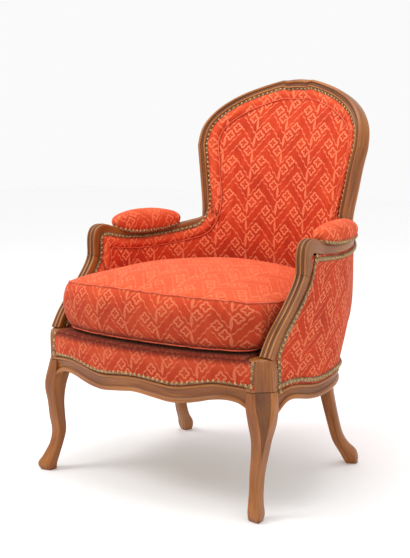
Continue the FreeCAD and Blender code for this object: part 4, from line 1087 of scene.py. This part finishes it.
def hung_pattern(grid, run):
    """Flat pattern of a cloth whose lower edge swings: it hangs level at the top."""
    rows, middle = grid.shape[0], grid.shape[1] // 2
    uv = np.stack(np.meshgrid(run, run_along(grid[:, middle])), axis=-1)
    uv[..., 1] += (grid[0, :, 2] - grid[0, middle, 2])[None, :] * (1 - np.linspace(0, 1, rows))[:, None]
    return uv


def outside_arm():
    """Outside of one arm, from the support round the rear corner to behind the stile."""
    rows, columns = 60, 110
    shares = np.linspace(0, 1, columns - 22)
    grid = np.zeros((rows, columns, 3))
    for i, rise in enumerate(np.linspace(0, 1, rows)):
        line = []
        for share in shares:
            low = RAIL_LOW + side_nail(share) + 1.0
            s = mix(*ARM_REAR, share)
            centre, side, face = arm_place(s)
            high = centre + side * 14.4 - face * mix(8, 4.5, share)
            z = mix(low, high[2], rise)
            out = 0.4 - 7 * max(0, (share - 0.6) / 0.4)
            p = side_at(share, z, out)
            near_top = math.exp(-(((1 - rise) * (high[2] - low)) / 26.0) ** 2)
            goal = high - side_at(share, high[2], out)
            p = p + goal * near_top
            if share < 0.12:
                level = min(max(z, 270), 548)
                if level > ARM_BASE:
                    c, sd, fc = arm_place(support_share(level))
                    front = c + sd * 14.2 - fc * 11
                else:
                    front = np.array((mix(325.5, 319, (level - 270) / 72), CORNER[1] + 2.0, level))
                w = (1 - share / 0.12) ** 2
                p = p + w * (np.array((front[0], front[1], p[2])) - p)
            line.append(p)
        z = line[-1][2]
        centre, side, face = back_place(stile_guide, stile_guide.where(2, min(z, 620)))
        tail = [centre + side * a - face * b for a, b in ((16.5, 9), (10, 20.4), (-1, 20.6))]
        tail = [np.array((q[0], q[1], z)) for q in tail]
        turn = Guide([line[-4], line[-1]] + tail)
        extra = [turn.at(s) for s in np.linspace(turn.t[1], 1, 23)[1:]]
        grid[i] = np.array(line + extra)
    puff = np.sin(np.pi * np.linspace(0, 1, rows)) ** 0.7
    across = np.sin(np.pi * np.clip(np.linspace(0, 1.25, columns), 0, 1)) ** 0.8
    normal = facings(grid)
    if np.median(normal[:, : columns // 2, 0]) < 0:
        normal = -normal
    grid = grid + normal * (3.0 * puff[:, None] * across[None, :])[..., None]
    run = run_along(grid[rows // 2])
    uv = hung_pattern(grid, run)
    edge = np.minimum(np.linspace(0, 1, rows), np.linspace(1, 0, rows))[:, None] * 280
    edge = np.minimum(edge, run[None, :])
    # Painted shade: the outside arm is darker all over, and most along its nailed edges.
    shade = 0.14 + 0.3 * np.exp(-(edge / 5.0) ** 2)
    rubbed = 0.12 + 0.25 * np.clip((np.linspace(0, 1, columns)[None, :] - 0.45) / 0.3, 0, 1) + 0 * edge
    thing = sheet_mesh("outside_arm_velvet_right", grid, COVER_THICK, uv, shade=shade, rubbed=rubbed)
    finish_pair(thing, VELVET, ["outside_arm_cover"])
    lift = normal * 1.0 + grid
    front, nailed = (slice(None), 1), slice(1, columns - 24)
    return [(lift[place], normal[place]) for place in (front, (rows - 2, nailed), (1, nailed))]


def back_grid(inset, depth, rows=70, columns=90, low=300.5):
    shoulder = crest_guide.at(0)
    wide = shoulder[0] - inset
    heights = np.linspace(300, shoulder[2], 60)
    half = np.array([stile_guide.at(stile_guide.where(2, h))[0] - inset for h in heights])
    grid = np.zeros((rows, columns, 3))
    gap = np.zeros((rows, columns))
    for j, across in enumerate(np.linspace(-1, 1, columns)):
        centre, along = crest_guide.at((1 - across) / 2), crest_guide.along((1 - across) / 2)
        out = unit((along[2], 0, -along[0]))
        if out[0] * centre[0] + out[2] * 150 < 0:
            out = -out
        top = centre - out * inset
        for i, rise in enumerate(np.linspace(0, 1, rows)):
            z = mix(low, top[2], rise)
            narrow = np.interp(min(z, shoulder[2]), heights, half) / wide
            x = top[0] * narrow
            edge = min((1 - abs(across)) * 230, (1 - rise) * 300)
            grid[i, j] = back_at(x, z) + back_facing(x, z) * depth(edge, rise)
            gap[i, j] = edge
    return grid, gap


def outside_back():
    """Outside back cover, nailed inside the rear of the frame."""
    grid, gap = back_grid(6.5, lambda edge, rise: -19.2 - 3.5 * (1 - math.exp(-edge / 22)))
    run = grid[..., 0] * 1.03
    rise = np.interp(grid[..., 2], LEVELS, HEIGHTS)
    # Painted shade along the nailed edges of the outside back.
    shade = 0.3 * np.exp(-(gap / 5) ** 2)
    thing = sheet_mesh("outside_back_velvet", grid, COVER_THICK, np.stack([run, rise], -1),
                       inward=(0, 900, 600), shade=shade, rubbed=np.full(gap.shape, 0.1))
    finish_piece(thing, VELVET, replaces=["outside_back_cover"])
    line = [grid[i, 1] for i in range(2, 70)] + [grid[68, j] for j in range(2, 88)]
    line += [grid[i, 88] for i in range(69, 1, -1)]
    line = np.array(line)
    aim = np.array([-back_facing(p[0], p[2]) for p in line])
    return line + aim * 0.6, aim


BAND_LEFT, BAND_RIGHT, BAND_TOP = -284.0, 298.0, 342


def front_band():
    """Padded band over the front rail."""
    columns, steps = 130, 26
    xs = np.linspace(BAND_LEFT, BAND_RIGHT, columns)
    grid = np.zeros((steps, columns, 3))
    for j, x in enumerate(xs):
        y, nail = front_face(x), front_nail(x) + 0.8
        swell = [(a, mix(nail, BAND_TOP, f), 0)
                 for a, f in ((-5.2, 0.2), (-7.2, 0.42), (-6.6, 0.66), (-3.4, 0.88))]
        shape = Guide([(2.2, nail, 0), (-1.6, nail + 3, 0), *swell, (3, BAND_TOP, 0), (14, 345.5, 0),
                       (27, 345.8, 0)])
        end = min(1, (min(BAND_RIGHT - x, x - BAND_LEFT) + 0.5) / 30) ** 0.6
        for i, s in enumerate(np.linspace(0, 1, steps)):
            a, b, _ = shape.at(s)
            z = b - (1 - end) * 6 * s
            if abs(x) > 276:
                y = block_front(abs(x), min(z, 340)) - 1.4
                grid[i, j] = (x, y + min(a, 0) * end, min(z, 341))
            else:
                grid[i, j] = (x, y + (a if a > 0 else a * end), z)
    girth = run_along(grid[:, columns // 2])
    uv = hung_pattern(grid, xs * 1.03)
    ends = np.minimum(xs - BAND_LEFT, BAND_RIGHT - xs)[None, :] + 0 * uv[..., 0]
    # Painted shade: darker at the band's ends and nailed foot, darker all over as a front face, and darkest
    # along its top under the cushion.
    shade = 0.35 * np.exp(-(np.minimum(ends, girth[:, None]) / 5) ** 2)
    shade = np.maximum(shade, 0.30 + 0.6 * np.clip((grid[..., 2] - 330) / 12, 0, 1))
    rubbed = 0.16 + 0.35 * np.exp(-((girth[:, None] - 50) / 14) ** 2) + 0 * shade
    thing = sheet_mesh("front_band_velvet", grid, COVER_THICK, uv, inward=(0, -900, 330), shade=shade,
                       rubbed=rubbed)
    finish_piece(thing, VELVET, replaces=["seat_front_band"])
    low = np.array([grid[1, j] + (0, -1.2, 0.5) for j in range(1, columns - 1)])
    return low, np.array([(0.0, -1.0, -0.05)] * len(low))


def seat_deck():
    """Cloth over the seat under the cushion."""
    rows, columns = 40, 60
    grid = np.zeros((rows, columns, 3))
    for i, v in enumerate(np.linspace(0, 1, rows)):
        for j, u in enumerate(np.linspace(-1, 1, columns)):
            y = mix(front_face(u * 270) + 4, 112 + 33 * (1 - u * u), v ** 1.5)
            wide = 274 if y < CORNER[1] + 2 else min(side_half(y) - 58, 274 + (y - CORNER[1]) * 0.9)
            edge = 3.4 * math.exp(-(y - front_face(u * 270) - 4) / 4)
            grid[i, j] = (u * wide, y, SEAT - 0.6 - edge - 1.2 * math.sin(math.pi * v) * (1 - u * u))
    # The deck is darkened all over as painted shade under the cushion.
    thing = sheet_mesh("seat_deck_cloth", grid, 1.6, grid[..., :2], inward=(0, -60, 900),
                       shade=np.full((rows, columns), 0.75), rubbed=np.full((rows, columns), 0.1))
    finish_piece(thing, VELVET, replaces=["seat_platform_cover"])


def side_half(y):
    s = side_guide.where(1, y)
    return side_guide.at(s)[0]


# Arm pads

def pad_share(y):
    """The share at which the arm rail reaches a place of its length."""
    return arm_guide.where(1, y, 0.46)


def make_pad():
    """Sprung pad on the arm: a stuffed dome, pulled in along its nailed edge."""
    start, length, width, height = -40, 208, 23.5, 54.0
    rows, columns = 44, 56
    grid = np.zeros((rows, columns, 3))
    level = arm_guide.at(pad_share(start + length * 0.5))[2]
    line, aim = [], []
    for j in range(columns):
        angle = 2 * math.pi * j / columns
        a, b = math.cos(angle), math.sin(angle)
        stretch = (abs(a) ** 3.2 + abs(b) ** 3.2) ** (-1 / 3.2)
        a, b = a * stretch, b * stretch
        centre, side, _ = arm_place(pad_share(start + length * (0.5 + 0.5 * a * 0.985)))
        side = unit((side[0], side[1], 0))
        inner = max(0.0, -(side * b)[0])
        foot = centre + (0, 0, ARM_DEEP / 2 + 0.6 - 8 * inner) + side * b * width
        heart = arm_guide.at(pad_share(start + length * (0.5 + 0.36 * a)))
        crown = ARM_DEEP / 2 + height - 8 * abs(a) ** 2.5
        top = np.array((heart[0], heart[1], level)) + (0, 0, crown)
        out = unit((foot - top) * (1, 1, 0) + side * b * 0.001)
        for i, t in enumerate(np.linspace(0, 1, rows)):
            rise = math.sin(t * math.pi / 2) ** 0.72
            pulled = 1 - math.cos(t * math.pi / 2)
            swell = 11.5 * math.sin(math.pi * min(1, t * 1.25)) ** 0.8 * (1 - t)
            pucker = 0.5 * math.sin(angle * 22 + 1.3 * math.sin(angle * 5)) * max(0, 1 - t * 5)
            p = foot * (1 - pulled) + top * pulled
            p = np.array((p[0], p[1], mix(foot[2], top[2], rise))) + out * swell
            grid[i, j] = p + out * pucker
        line.append(foot + out * 0.8 + (0, 0, 4.6))
        aim.append(unit(out + (0, 0, 0.12)))
    middle = grid[-1].mean(axis=0)
    flat = np.stack([grid[..., 1] - middle[1], grid[..., 0] - middle[0]], -1)
    flat[..., 1] += np.sign(flat[..., 1]) * (grid[..., 2].max() - grid[..., 2]) * 0.8
    flat = flat.reshape(-1, 2) / 1000
    faces = sleeve(rows, columns)
    level = np.repeat(np.linspace(0, 1, rows), columns)
    # Painted shade round the pad's foot, where it meets the arm rail.
    shade = 0.45 * np.exp(-(level / 0.09) ** 2)
    rubbed = 0.35 + 0.45 * np.clip((level - 0.3) / 0.5, 0, 1)
    corners = [corner for face in faces for corner in face]
    thing = new_mesh("arm_pad_velvet_right", grid.reshape(-1, 3), faces, flat[corners], shade=shade,
                     rubbed=rubbed)
    outward(thing)
    finish_pair(thing, VELVET, ["arm_pad_cover", "arm_pad_stuffing"])
    return np.array(line + line[:1]), np.array(aim + aim[:1])


# Loose cushion

CUSHION_LOW, CUSHION_SEAM = SEAT + 0.8, 468.0


def cushion_half(y):
    """Half width of the cushion; it keeps clear of the padded arms."""
    return float(np.interp(y, [-320, -285, -262, -240, -222, -160, -80, 0, 70, 124, 160, 190],
                           [262, 266, 271, 276, 278, 277.5, 276.5, 272, 262, 240, 216, 176]))


def cushion_point(u, v):
    """A place of the plan, u across and v from front to rear, both from -1 to 1."""
    if abs(u) < 0.52:
        front = front_face(0) + 16 + 9 * (u / 0.52) ** 2
    else:
        front = mix(-301, -266, ((abs(u) - 0.52) / 0.48) ** 1.3)
    rear = 192 - 58 * abs(u) ** 2.4
    reach = (abs(u) ** 15 + abs(v) ** 15) ** (1 / 15)
    if reach > 0:
        u, v = u * max(abs(u), abs(v)) / reach, v * max(abs(u), abs(v)) / reach
    y = mix(front, rear, (v + 1) / 2)
    return np.array((u * cushion_half(y), y))


def cushion_crowding(count):
    """Places from -1 to 1, closer together near the ends."""
    return np.sin(np.linspace(-1, 1, count) * math.pi / 2 * 0.86) / math.sin(math.pi / 2 * 0.86)


def seam_level(u, v, x, y):
    """Height of the cushion's top seam: it sinks at the corners and beside the arms."""
    side = min(1, max(0, (y + 275) / 110)) * max(0, abs(u) - 0.6) / 0.4
    corner = (abs(u) * abs(v)) ** 6
    return CUSHION_SEAM - 2 + 5 * math.exp(-((x + 60) / 170) ** 2) - 4 * corner - 14 * side


def distance_to(points, line):
    """How far each point lies from the nearest point of a line."""
    return np.concatenate([
        np.linalg.norm(points[k : k + 4000, None] - line[None], axis=2).min(axis=1)
        for k in range(0, len(points), 4000)])


def read_points(mesh):
    """The points of a mesh in millimetres, on the unshifted plan."""
    points = np.zeros(len(mesh.vertices) * 3)
    mesh.vertices.foreach_get("co", points)
    return points.reshape(-1, 3) * 1000 - (0, PLAN_SHIFT, 0)


def write_points(mesh, points):
    mesh.vertices.foreach_set("co", ((points + (0, PLAN_SHIFT, 0)) / 1000).ravel())


def cushion_casing():
    """Top, bottom and boxed border of the cushion, sewn together and not yet filled."""
    across, deep, tall = 74, 66, 16
    us, vs = cushion_crowding(across), cushion_crowding(deep)
    plan = np.array([[cushion_point(u, v) for u in us] for v in vs])
    verts = []
    for v, row in zip(vs, plan):
        for u, (x, y) in zip(us, row):
            dome = ((1 - abs(u) ** 2.6) * (1 - abs(v) ** 2.6)) ** 0.62
            wave = 1.6 * math.sin(u * 5 + v * 3.1) * math.sin(v * 4.3 - u * 1.7)
            verts.append((x, y, seam_level(u, v, x, y) + (34 + wave) * dome))
    for v, row in zip(vs, plan):
        for u, place in zip(us, row):
            lift = (4 + 3 * max(0, -v)) * max(0, 1 - (1 - max(abs(u), abs(v))) * 8) ** 1.5
            verts.append((*(place * 0.985), CUSHION_LOW + lift))
    flat = across * deep
    faces, uvs = [], []
    for first, turn in ((0, ((0, 0), (0, 1), (1, 1), (1, 0))), (flat, ((0, 0), (1, 0), (1, 1), (0, 1)))):
        for i in range(deep - 1):
            for j in range(across - 1):
                cell = [(i + a, j + b) for a, b in turn]
                faces.append(tuple(first + a * across + b for a, b in cell))
                uvs += [plan[c] / 1000 * 1.04 for c in cell]

    rim = [(0, j) for j in range(across)] + [(i, across - 1) for i in range(1, deep)]
    rim += [(deep - 1, j) for j in range(across - 2, -1, -1)] + [(i, 0) for i in range(deep - 2, 0, -1)]
    count = len(rim)
    loop = np.array([plan[c] for c in rim])
    along = np.roll(loop, -1, 0) - np.roll(loop, 1, 0)
    out = np.stack([along[:, 1], -along[:, 0]], 1)
    out /= np.linalg.norm(out, axis=1, keepdims=True)
    if (out * (loop - loop.mean(0))).sum() < 0:
        out = -out
    run = run_along(loop)
    seam, hem = [i * across + j for i, j in rim], [flat + i * across + j for i, j in rim]
    rows = [seam]
    for r in range(1, tall):
        t = r / tall
        rows.append(list(range(len(verts), len(verts) + count)))
        for k in range(count):
            high, low = np.array(verts[seam[k]]), np.array(verts[hem[k]])
            room = 0.15 if loop[k][1] > -225 else 1.0
            bulge = 15 * math.sin(math.pi * t) ** 0.75 * room
            place = high[:2] * (1 - t) + low[:2] * t + out[k] * bulge
            verts.append((*place, mix(high[2], low[2], t)))
    rows.append(hem)
    for r in range(tall):
        for k in range(count):
            n = (k + 1) % count
            faces.append((rows[r][k], rows[r + 1][k], rows[r + 1][n], rows[r][n]))
            ahead = run[k + 1] if k + 1 < count else run[k] + 8
            for c, level in ((run[k], r), (run[k], r + 1), (ahead, r + 1), (ahead, r)):
                uvs.append(((c + 20) / 1000, -level / tall * 0.122))
    return verts, faces, uvs, flat, seam, hem


def make_cushion():
    """Feather cushion: the casing filled, with its folds and the cords of its seams."""
    verts, faces, uvs, flat, seam, hem = cushion_casing()
    thing = outward(new_mesh("cushion_velvet", verts, faces, uvs))
    fill_cushion(thing, np.array(verts), seam)

    points = crumple(read_points(thing.data))
    seam_gap = np.minimum(distance_to(points, points[seam]), distance_to(points, points[hem]))
    middle = points.mean(axis=0)
    toward = (middle - points) * (1, 1, 0)
    toward /= np.linalg.norm(toward, axis=1, keepdims=True) + 1e-9
    points = points + toward * (2.2 * np.exp(-(seam_gap / 5.0) ** 2))[:, None]
    write_points(thing.data, points)
    on_top = np.arange(len(points)) < flat
    spread = np.clip((points[:, 2] - 440) / 60, 0, 1)
    rubbed = np.maximum(np.where(on_top, 0.78, 0), 0.22 + 0.34 * spread)
    # Painted shade: dark along the piped seams, at the bottom and down the lower border.
    shade = 0.5 * np.exp(-(seam_gap / 3.2) ** 2) + 0.9 * np.clip((376 - points[:, 2]) / 28, 0, 1) ** 1.5
    shade = np.clip(shade + 0.34 * np.clip((472 - points[:, 2]) / 50, 0, 1), 0, 1)
    for key, values in (("rubbed", rubbed), ("shade", shade)):
        thing.data.attributes.new(key, "FLOAT", "POINT").data.foreach_set("value", values)
    smooth = thing.modifiers.new("smooth", "SUBSURF")
    smooth.levels = smooth.render_levels = 1
    finish_piece(thing, VELVET, "cushion", ["cushion_cover", "cushion_filling"])
    for row, name in ((seam, "cushion_top_seam"), (hem, "cushion_low_seam")):
        line = points[row]
        away = (line - middle) * (1, 1, 0)
        away /= np.linalg.norm(away, axis=1, keepdims=True)
        path = Guide(np.concatenate([line, line[:1]]) + np.concatenate([away, away[:1]]) * 0.7)
        cord = tube(name, [path.at(s) for s in np.linspace(0, 1, 700)[:-1]], 1.9, 6, closed=True)
        finish_piece(cord, CORD, "cushion")


def fill_cushion(thing, start, seam):
    """Fills the sewn casing: pressure from inside, and no point moves over FILL_REACH."""
    copy = thing.copy()
    copy.data = thing.data.copy()
    bpy.context.collection.objects.link(copy)
    hold = copy.vertex_groups.new(name="hold")
    hold.add([k for k, p in enumerate(start) if p[2] < CUSHION_LOW + 2], 1.0, "REPLACE")
    hold.add(seam, 0.6, "REPLACE")
    cloth = copy.modifiers.new("cloth", "CLOTH")
    own = cloth.settings
    own.quality = 5
    own.mass = 0.35
    own.use_pressure = True
    own.uniform_pressure_force = 4.0
    own.tension_stiffness = own.compression_stiffness = 12
    own.shear_stiffness = 4
    own.bending_stiffness = 0.4
    own.effector_weights.gravity = 0
    own.vertex_group_mass = "hold"
    cloth.collision_settings.use_self_collision = False
    cloth.point_cache.frame_start, cloth.point_cache.frame_end = 1, 20
    for step in range(1, 21):
        bpy.context.scene.frame_set(step)
    done = copy.evaluated_get(bpy.context.evaluated_depsgraph_get()).to_mesh()
    shift = read_points(done) - start
    size = np.linalg.norm(shift, axis=1, keepdims=True)
    shift *= np.minimum(1, FILL_REACH / np.maximum(size, 1e-9))
    bpy.context.scene.frame_set(1)
    bpy.data.objects.remove(copy)
    write_points(thing.data, start + shift)


def crumple(points):
    """Folds of a used feather cushion, and the room that the arms leave it."""
    rng = np.random.default_rng(11)
    x, y, z = points.T
    front = np.clip((-250 - y) / 40, 0, 1)
    slack = np.zeros(len(points))
    for _ in range(9):
        cx, cz, tilt = rng.uniform(-240, 240), rng.uniform(360, 450), rng.uniform(-0.5, 0.5)
        width, reach, depth = rng.uniform(7, 15), rng.uniform(28, 60), rng.uniform(0.8, 2.4)
        across = (x - cx) + tilt * (z - cz)
        slack -= depth * np.exp(-(across / width) ** 2 - ((z - cz) / reach) ** 2)
    for cx, depth in ((232, 5.0), (214, 3.4), (190, 2.6), (-238, 3.0)):
        lean = (465 - z) * 0.16 * np.sign(cx)
        slack -= depth * np.exp(-((x - cx + lean) / 6.5) ** 2) * np.clip((z - 372) / 70, 0, 1)
    y = y - slack * front
    on_top = np.clip((z - 470) / 10, 0, 1)
    puckers = 1.3 * np.sin(x / 7.5 + 1.7 * np.sin(x / 31)) * np.exp(-((z - 466) / 9) ** 2) * front
    z = z + on_top * 1.1 * np.sin(x / 47 + 1.1) * np.sin(y / 39) + puckers * 0.6
    limit = np.array([cushion_half(v) for v in y]) + np.where(y > -235, 1.5, 9)
    return np.stack([np.clip(x, -limit, limit), y, np.maximum(z, CUSHION_LOW)], axis=1)


# Nails and braid

def line_object(name, lines):
    """Open lines in one mesh, with the way each point faces."""
    verts, edges, facing = [], [], []
    for path, aim in lines:
        first = len(verts)
        verts += [tuple(p) for p in path]
        facing += [tuple(unit(a)) for a in aim]
        edges += [(k, k + 1) for k in range(first, len(verts) - 1)]
    verts = (np.array(verts) + (0, PLAN_SHIFT, 0)) * 0.001
    mesh = bpy.data.meshes.new(name)
    mesh.from_pydata(verts.tolist(), edges, [])
    mark = mesh.attributes.new("facing", "FLOAT_VECTOR", "POINT")
    mark.data.foreach_set("vector", np.array(facing, float).ravel())
    return placed(name, mesh)


class Tree:
    """A Geometry Nodes tree with named sizes, built one node at a time."""

    def __init__(self, name, **sizes):
        self.group = bpy.data.node_groups.new(name, "GeometryNodeTree")
        face = self.group.interface
        face.new_socket("Geometry", in_out="INPUT", socket_type="NodeSocketGeometry")
        for title, value in sizes.items():
            face.new_socket(title, in_out="INPUT", socket_type="NodeSocketFloat").default_value = value
        face.new_socket("Geometry", in_out="OUTPUT", socket_type="NodeSocketGeometry")
        self.given = self.group.nodes.new("NodeGroupInput").outputs
        self.made = self.group.nodes.new("NodeGroupOutput").inputs

    def add(self, kind, inputs, output=0, **settings):
        """One node with its inputs by name or number; the wanted output comes back."""
        node = self.group.nodes.new(kind)
        for key, value in settings.items():
            setattr(node, key, value)
        for key, value in inputs.items():
            if isinstance(value, bpy.types.NodeSocket):
                self.group.links.new(value, node.inputs[key])
            else:
                node.inputs[key].default_value = value
        return node.outputs[output]

    def spaced(self, pitch):
        """The given lines with points at even steps, and the way each point faces."""
        curve = self.add("GeometryNodeMeshToCurve", {"Mesh": self.given["Geometry"]})
        curve = self.add("GeometryNodeResampleCurve", {"Curve": curve, "Length": pitch}, mode="LENGTH")
        facing = self.add("GeometryNodeInputNamedAttribute", {"Name": "facing"}, "Attribute",
                          data_type="FLOAT_VECTOR")
        return curve, facing

    def done(self, geometry, material):
        real = self.add("GeometryNodeRealizeInstances", {"Geometry": geometry})
        paint = self.add("GeometryNodeSetMaterial", {"Geometry": real, "Material": material})
        self.group.links.new(paint, self.made["Geometry"])
        return self.group


def nail_tree():
    """Domed nails at a pitch along the lines, each turned the way its line faces."""
    tree = Tree("nail_row", Pitch=NAIL_PITCH, Head=NAIL_HEAD)
    curve, facing = tree.spaced(tree.given["Pitch"])
    dome = tree.add("GeometryNodeMeshUVSphere", {"Segments": 8, "Rings": 6, "Radius": tree.given["Head"]})
    dome = tree.add("GeometryNodeTransform", {"Geometry": dome, "Scale": (1, 1, 0.62)})
    dome = tree.add("GeometryNodeSetShadeSmooth", {"Geometry": dome})
    turn = tree.add("FunctionNodeAlignRotationToVector", {"Vector": facing}, "Rotation", axis="Z")
    uneven = tree.add("FunctionNodeRandomValue", {"Min": 0.92, "Max": 1.05, "Seed": 5}, data_type="FLOAT")
    scale = [socket for socket in uneven.node.outputs if socket.enabled][0]
    nails = tree.add("GeometryNodeInstanceOnPoints",
                     {"Points": curve, "Instance": dome, "Rotation": turn, "Scale": scale}, "Instances")
    return tree.done(nails, NAIL)


def braid_tree():
    """A looped thread that swings from side to side of the line."""
    tree = Tree("braid_row", Step=0.0031, Swing=0.0046, Thread=0.0012)
    curve, facing = tree.spaced(tree.given["Step"])
    tangent = tree.add("GeometryNodeInputTangent", {}, "Tangent")
    side = tree.add("ShaderNodeVectorMath", {0: facing, 1: tangent}, "Vector", operation="CROSS_PRODUCT")
    side = tree.add("ShaderNodeVectorMath", {0: side}, "Vector", operation="NORMALIZE")
    index = tree.add("GeometryNodeInputIndex", {}, "Index")
    swing = tree.add("ShaderNodeMath", {0: index, 1: 2.0}, operation="MODULO")
    swing = tree.add("ShaderNodeMath", {0: swing, 1: 2.0, 2: -1.0}, operation="MULTIPLY_ADD")
    swing = tree.add("ShaderNodeMath", {0: swing, 1: tree.given["Swing"]}, operation="MULTIPLY")
    offset = tree.add("ShaderNodeVectorMath", {0: side, "Scale": swing}, "Vector", operation="SCALE")
    moved = tree.add("GeometryNodeSetPosition", {"Geometry": curve, "Offset": offset})
    section = tree.add("GeometryNodeCurvePrimitiveCircle",
                       {"Resolution": 4, "Radius": tree.given["Thread"]}, "Curve")
    thread = tree.add("GeometryNodeCurveToMesh",
                      {"Curve": moved, "Profile Curve": section, "Fill Caps": True}, "Mesh")
    return tree.done(thread, BRAID)


def worked(name, lines, group, slot, **sizes):
    """Runs a tree over lines and keeps its result as a plain mesh."""
    thing = line_object(name + "_lines", lines)
    make = thing.modifiers.new("make", "NODES")
    make.node_group = group
    for item in group.interface.items_tree:
        if item.item_type == "SOCKET" and item.in_out == "INPUT" and item.name in sizes:
            make[item.identifier] = sizes[item.name]
    mesh = bpy.data.meshes.new_from_object(thing.evaluated_get(bpy.context.evaluated_depsgraph_get()))
    mesh.name = name
    bpy.data.objects.remove(thing)
    piece = placed(name, mesh)
    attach(piece, "chair")


def ribbon(name, lines, width, thick, material):
    """Flat woven band under the braid's thread; it is dark partly in its own colour and partly as painted
    shade between the thread's loops.
    """
    verts, faces = [], []
    for path, aim in lines:
        along = np.gradient(path, axis=0)
        side = np.cross(aim, along)
        side /= np.linalg.norm(side, axis=1, keepdims=True) + 1e-9
        aim = np.cross(along, side)
        aim /= np.linalg.norm(aim, axis=1, keepdims=True) + 1e-9
        first, h = len(verts), width / 2
        for p, s, n in zip(path, side, aim):
            verts += [p - s * h - n * 0.8, p + s * h - n * 0.8, p + s * h + n * thick * 0.5,
                      p + n * thick, p - s * h + n * thick * 0.5]
        faces += sleeve(len(path), 5, first)
    finish_piece(outward(new_mesh(name, verts, faces)), material)


def even(path, aim, step=2.0):
    """The same line with points at even steps, smoothed."""
    run = run_along(path)
    keep = np.concatenate([[True], np.diff(run) > 1e-6])
    run = run[keep]
    places = np.linspace(0, run[-1], max(4, int(run[-1] / step)))
    smooth = []
    for values in (path[keep], aim[keep]):
        values = np.stack([np.interp(places, run, values[:, k]) for k in range(3)], 1)
        for _ in range(6):
            values[1:-1] = (values[:-2] + 2 * values[1:-1] + values[2:]) / 4
        smooth.append(values)
    return smooth


def flipped(line):
    path, aim = line
    return path * (-1, 1, 1), aim * (-1, 1, 1)


def nail_everything():
    """Every line of braid and nails, the covers that they hold and the inside piping."""
    edge, aim, seam = inside_cloth()
    path, look = even(edge, aim)
    lines = [(path + look * 1.4, look)]
    for edge, inwards in zip(outside_arm(), ((0, 5.0, 0), (0, 0, -5.0), (0, 0, 5.0))):
        path, look = even(*edge)
        line = (path + inwards + look * 0.6, look)
        lines += [line, flipped(line)]
    path, look = even(*front_band())
    lines.append((path + (0, 0, 4.4), look))
    for x in (BAND_LEFT + 4.5, BAND_RIGHT - 4.5):
        heights = np.linspace(front_nail(277) + 9, 339, 30)
        column = [(x, block_front(abs(x), z) - 2.6, z) for z in heights]
        lines.append((np.array(column), np.array([(0.0, -1.0, 0.0)] * len(column))))
    lines.append(even(*outside_back()))
    pad = even(*make_pad())
    lines += [pad, flipped(pad)]
    ribbon("braid_ground", lines, 10.6, 1.1, BRAID_DARK)
    raised = [(p + a * 1.1, a) for p, a in lines]
    worked("braid_thread", raised, braid_tree(), "velvet", Step=0.0031, Swing=0.0042, Thread=0.0011)
    nails = [(p + a * 1.6, a) for p, a in lines]
    worked("upholstery_nails", nails, nail_tree(), "steel", Pitch=NAIL_PITCH, Head=NAIL_HEAD)
    cord = tube("inside_piping", [Guide(seam[::3]).at(s) for s in np.linspace(0, 1, 900)], 1.7, 6)
    finish_piece(cord, CORD)


def plain_nodes():
    """Finishes of the pieces that keep their built shape."""
    finishes = {
        "seat_springs": STEEL, "seat_webbing_lengthwise": JUTE, "seat_webbing_crosswise": JUTE,
        "back_webbing": JUTE, "seat_hessian": CANVAS, "back_hessian": CANVAS, "seat_stuffing": FILLING,
        "inside_back_stuffing": FILLING, "corner_blocks": BARE, "back_lower_rail": BARE, "joint_pegs": BARE,
        "corner_block_screws": STEEL,
    }
    for name, material in finishes.items():
        for thing in node_objects(name):
            for slot in thing.material_slots:
                slot.material = material


def node_objects(name):
    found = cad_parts[name]
    return found if isinstance(found, (list, tuple)) else [found]


nail_everything()
seat_deck()
make_cushion()
plain_nodes()


# Studio

def studio():
    world = bpy.data.worlds.new("pale_studio")
    bpy.context.scene.world = world
    world.use_nodes = True
    shade = world.node_tree.nodes["Background"]
    shade.inputs["Color"].default_value = (1.0, 1.0, 1.0, 1)
    shade.inputs["Strength"].default_value = 0.955
    floor = new_mesh("studio_floor", [(-9000, -9000, 0), (9000, -9000, 0), (9000, 9000, 0), (-9000, 9000, 0)],
                     [(0, 1, 2, 3)])
    pale = Finish("pale_floor").done(Base_Color=(0.985, 0.985, 0.985, 1), Roughness=0.7)
    floor.data.materials.append(pale)
    for name, place, power, size in [("key", (-1.7, -1.7, 2.9), 40, 1.2), ("fill", (2.6, -1.6, 1.7), 5, 2.0),
                                     ("top", (0.2, 0.1, 3.2), 30, 1.6)]:
        lamp = bpy.data.lights.new(name, "AREA")
        lamp.energy = power
        lamp.size = size
        thing = placed(name, lamp)
        thing.location = place
        thing.rotation_euler = (Vector((0, 0, 0.45)) - Vector(place)).to_track_quat("-Z", "Y").to_euler()
    camera = bpy.data.cameras.new("camera")
    camera.lens = 73.1
    camera.sensor_width = 36
    eye = placed("camera", camera)
    eye.location = (1.610, -2.209 + PLAN_SHIFT / 1000, 0.839)
    turn, dip = math.radians(36.84), math.radians(7.85)
    look = Vector((-math.sin(turn) * math.cos(dip), math.cos(turn) * math.cos(dip), -math.sin(dip)))
    eye.rotation_euler = look.to_track_quat("-Z", "Y").to_euler()
    bpy.context.scene.camera = eye
    bpy.context.scene.view_settings.view_transform = "Standard"


studio()
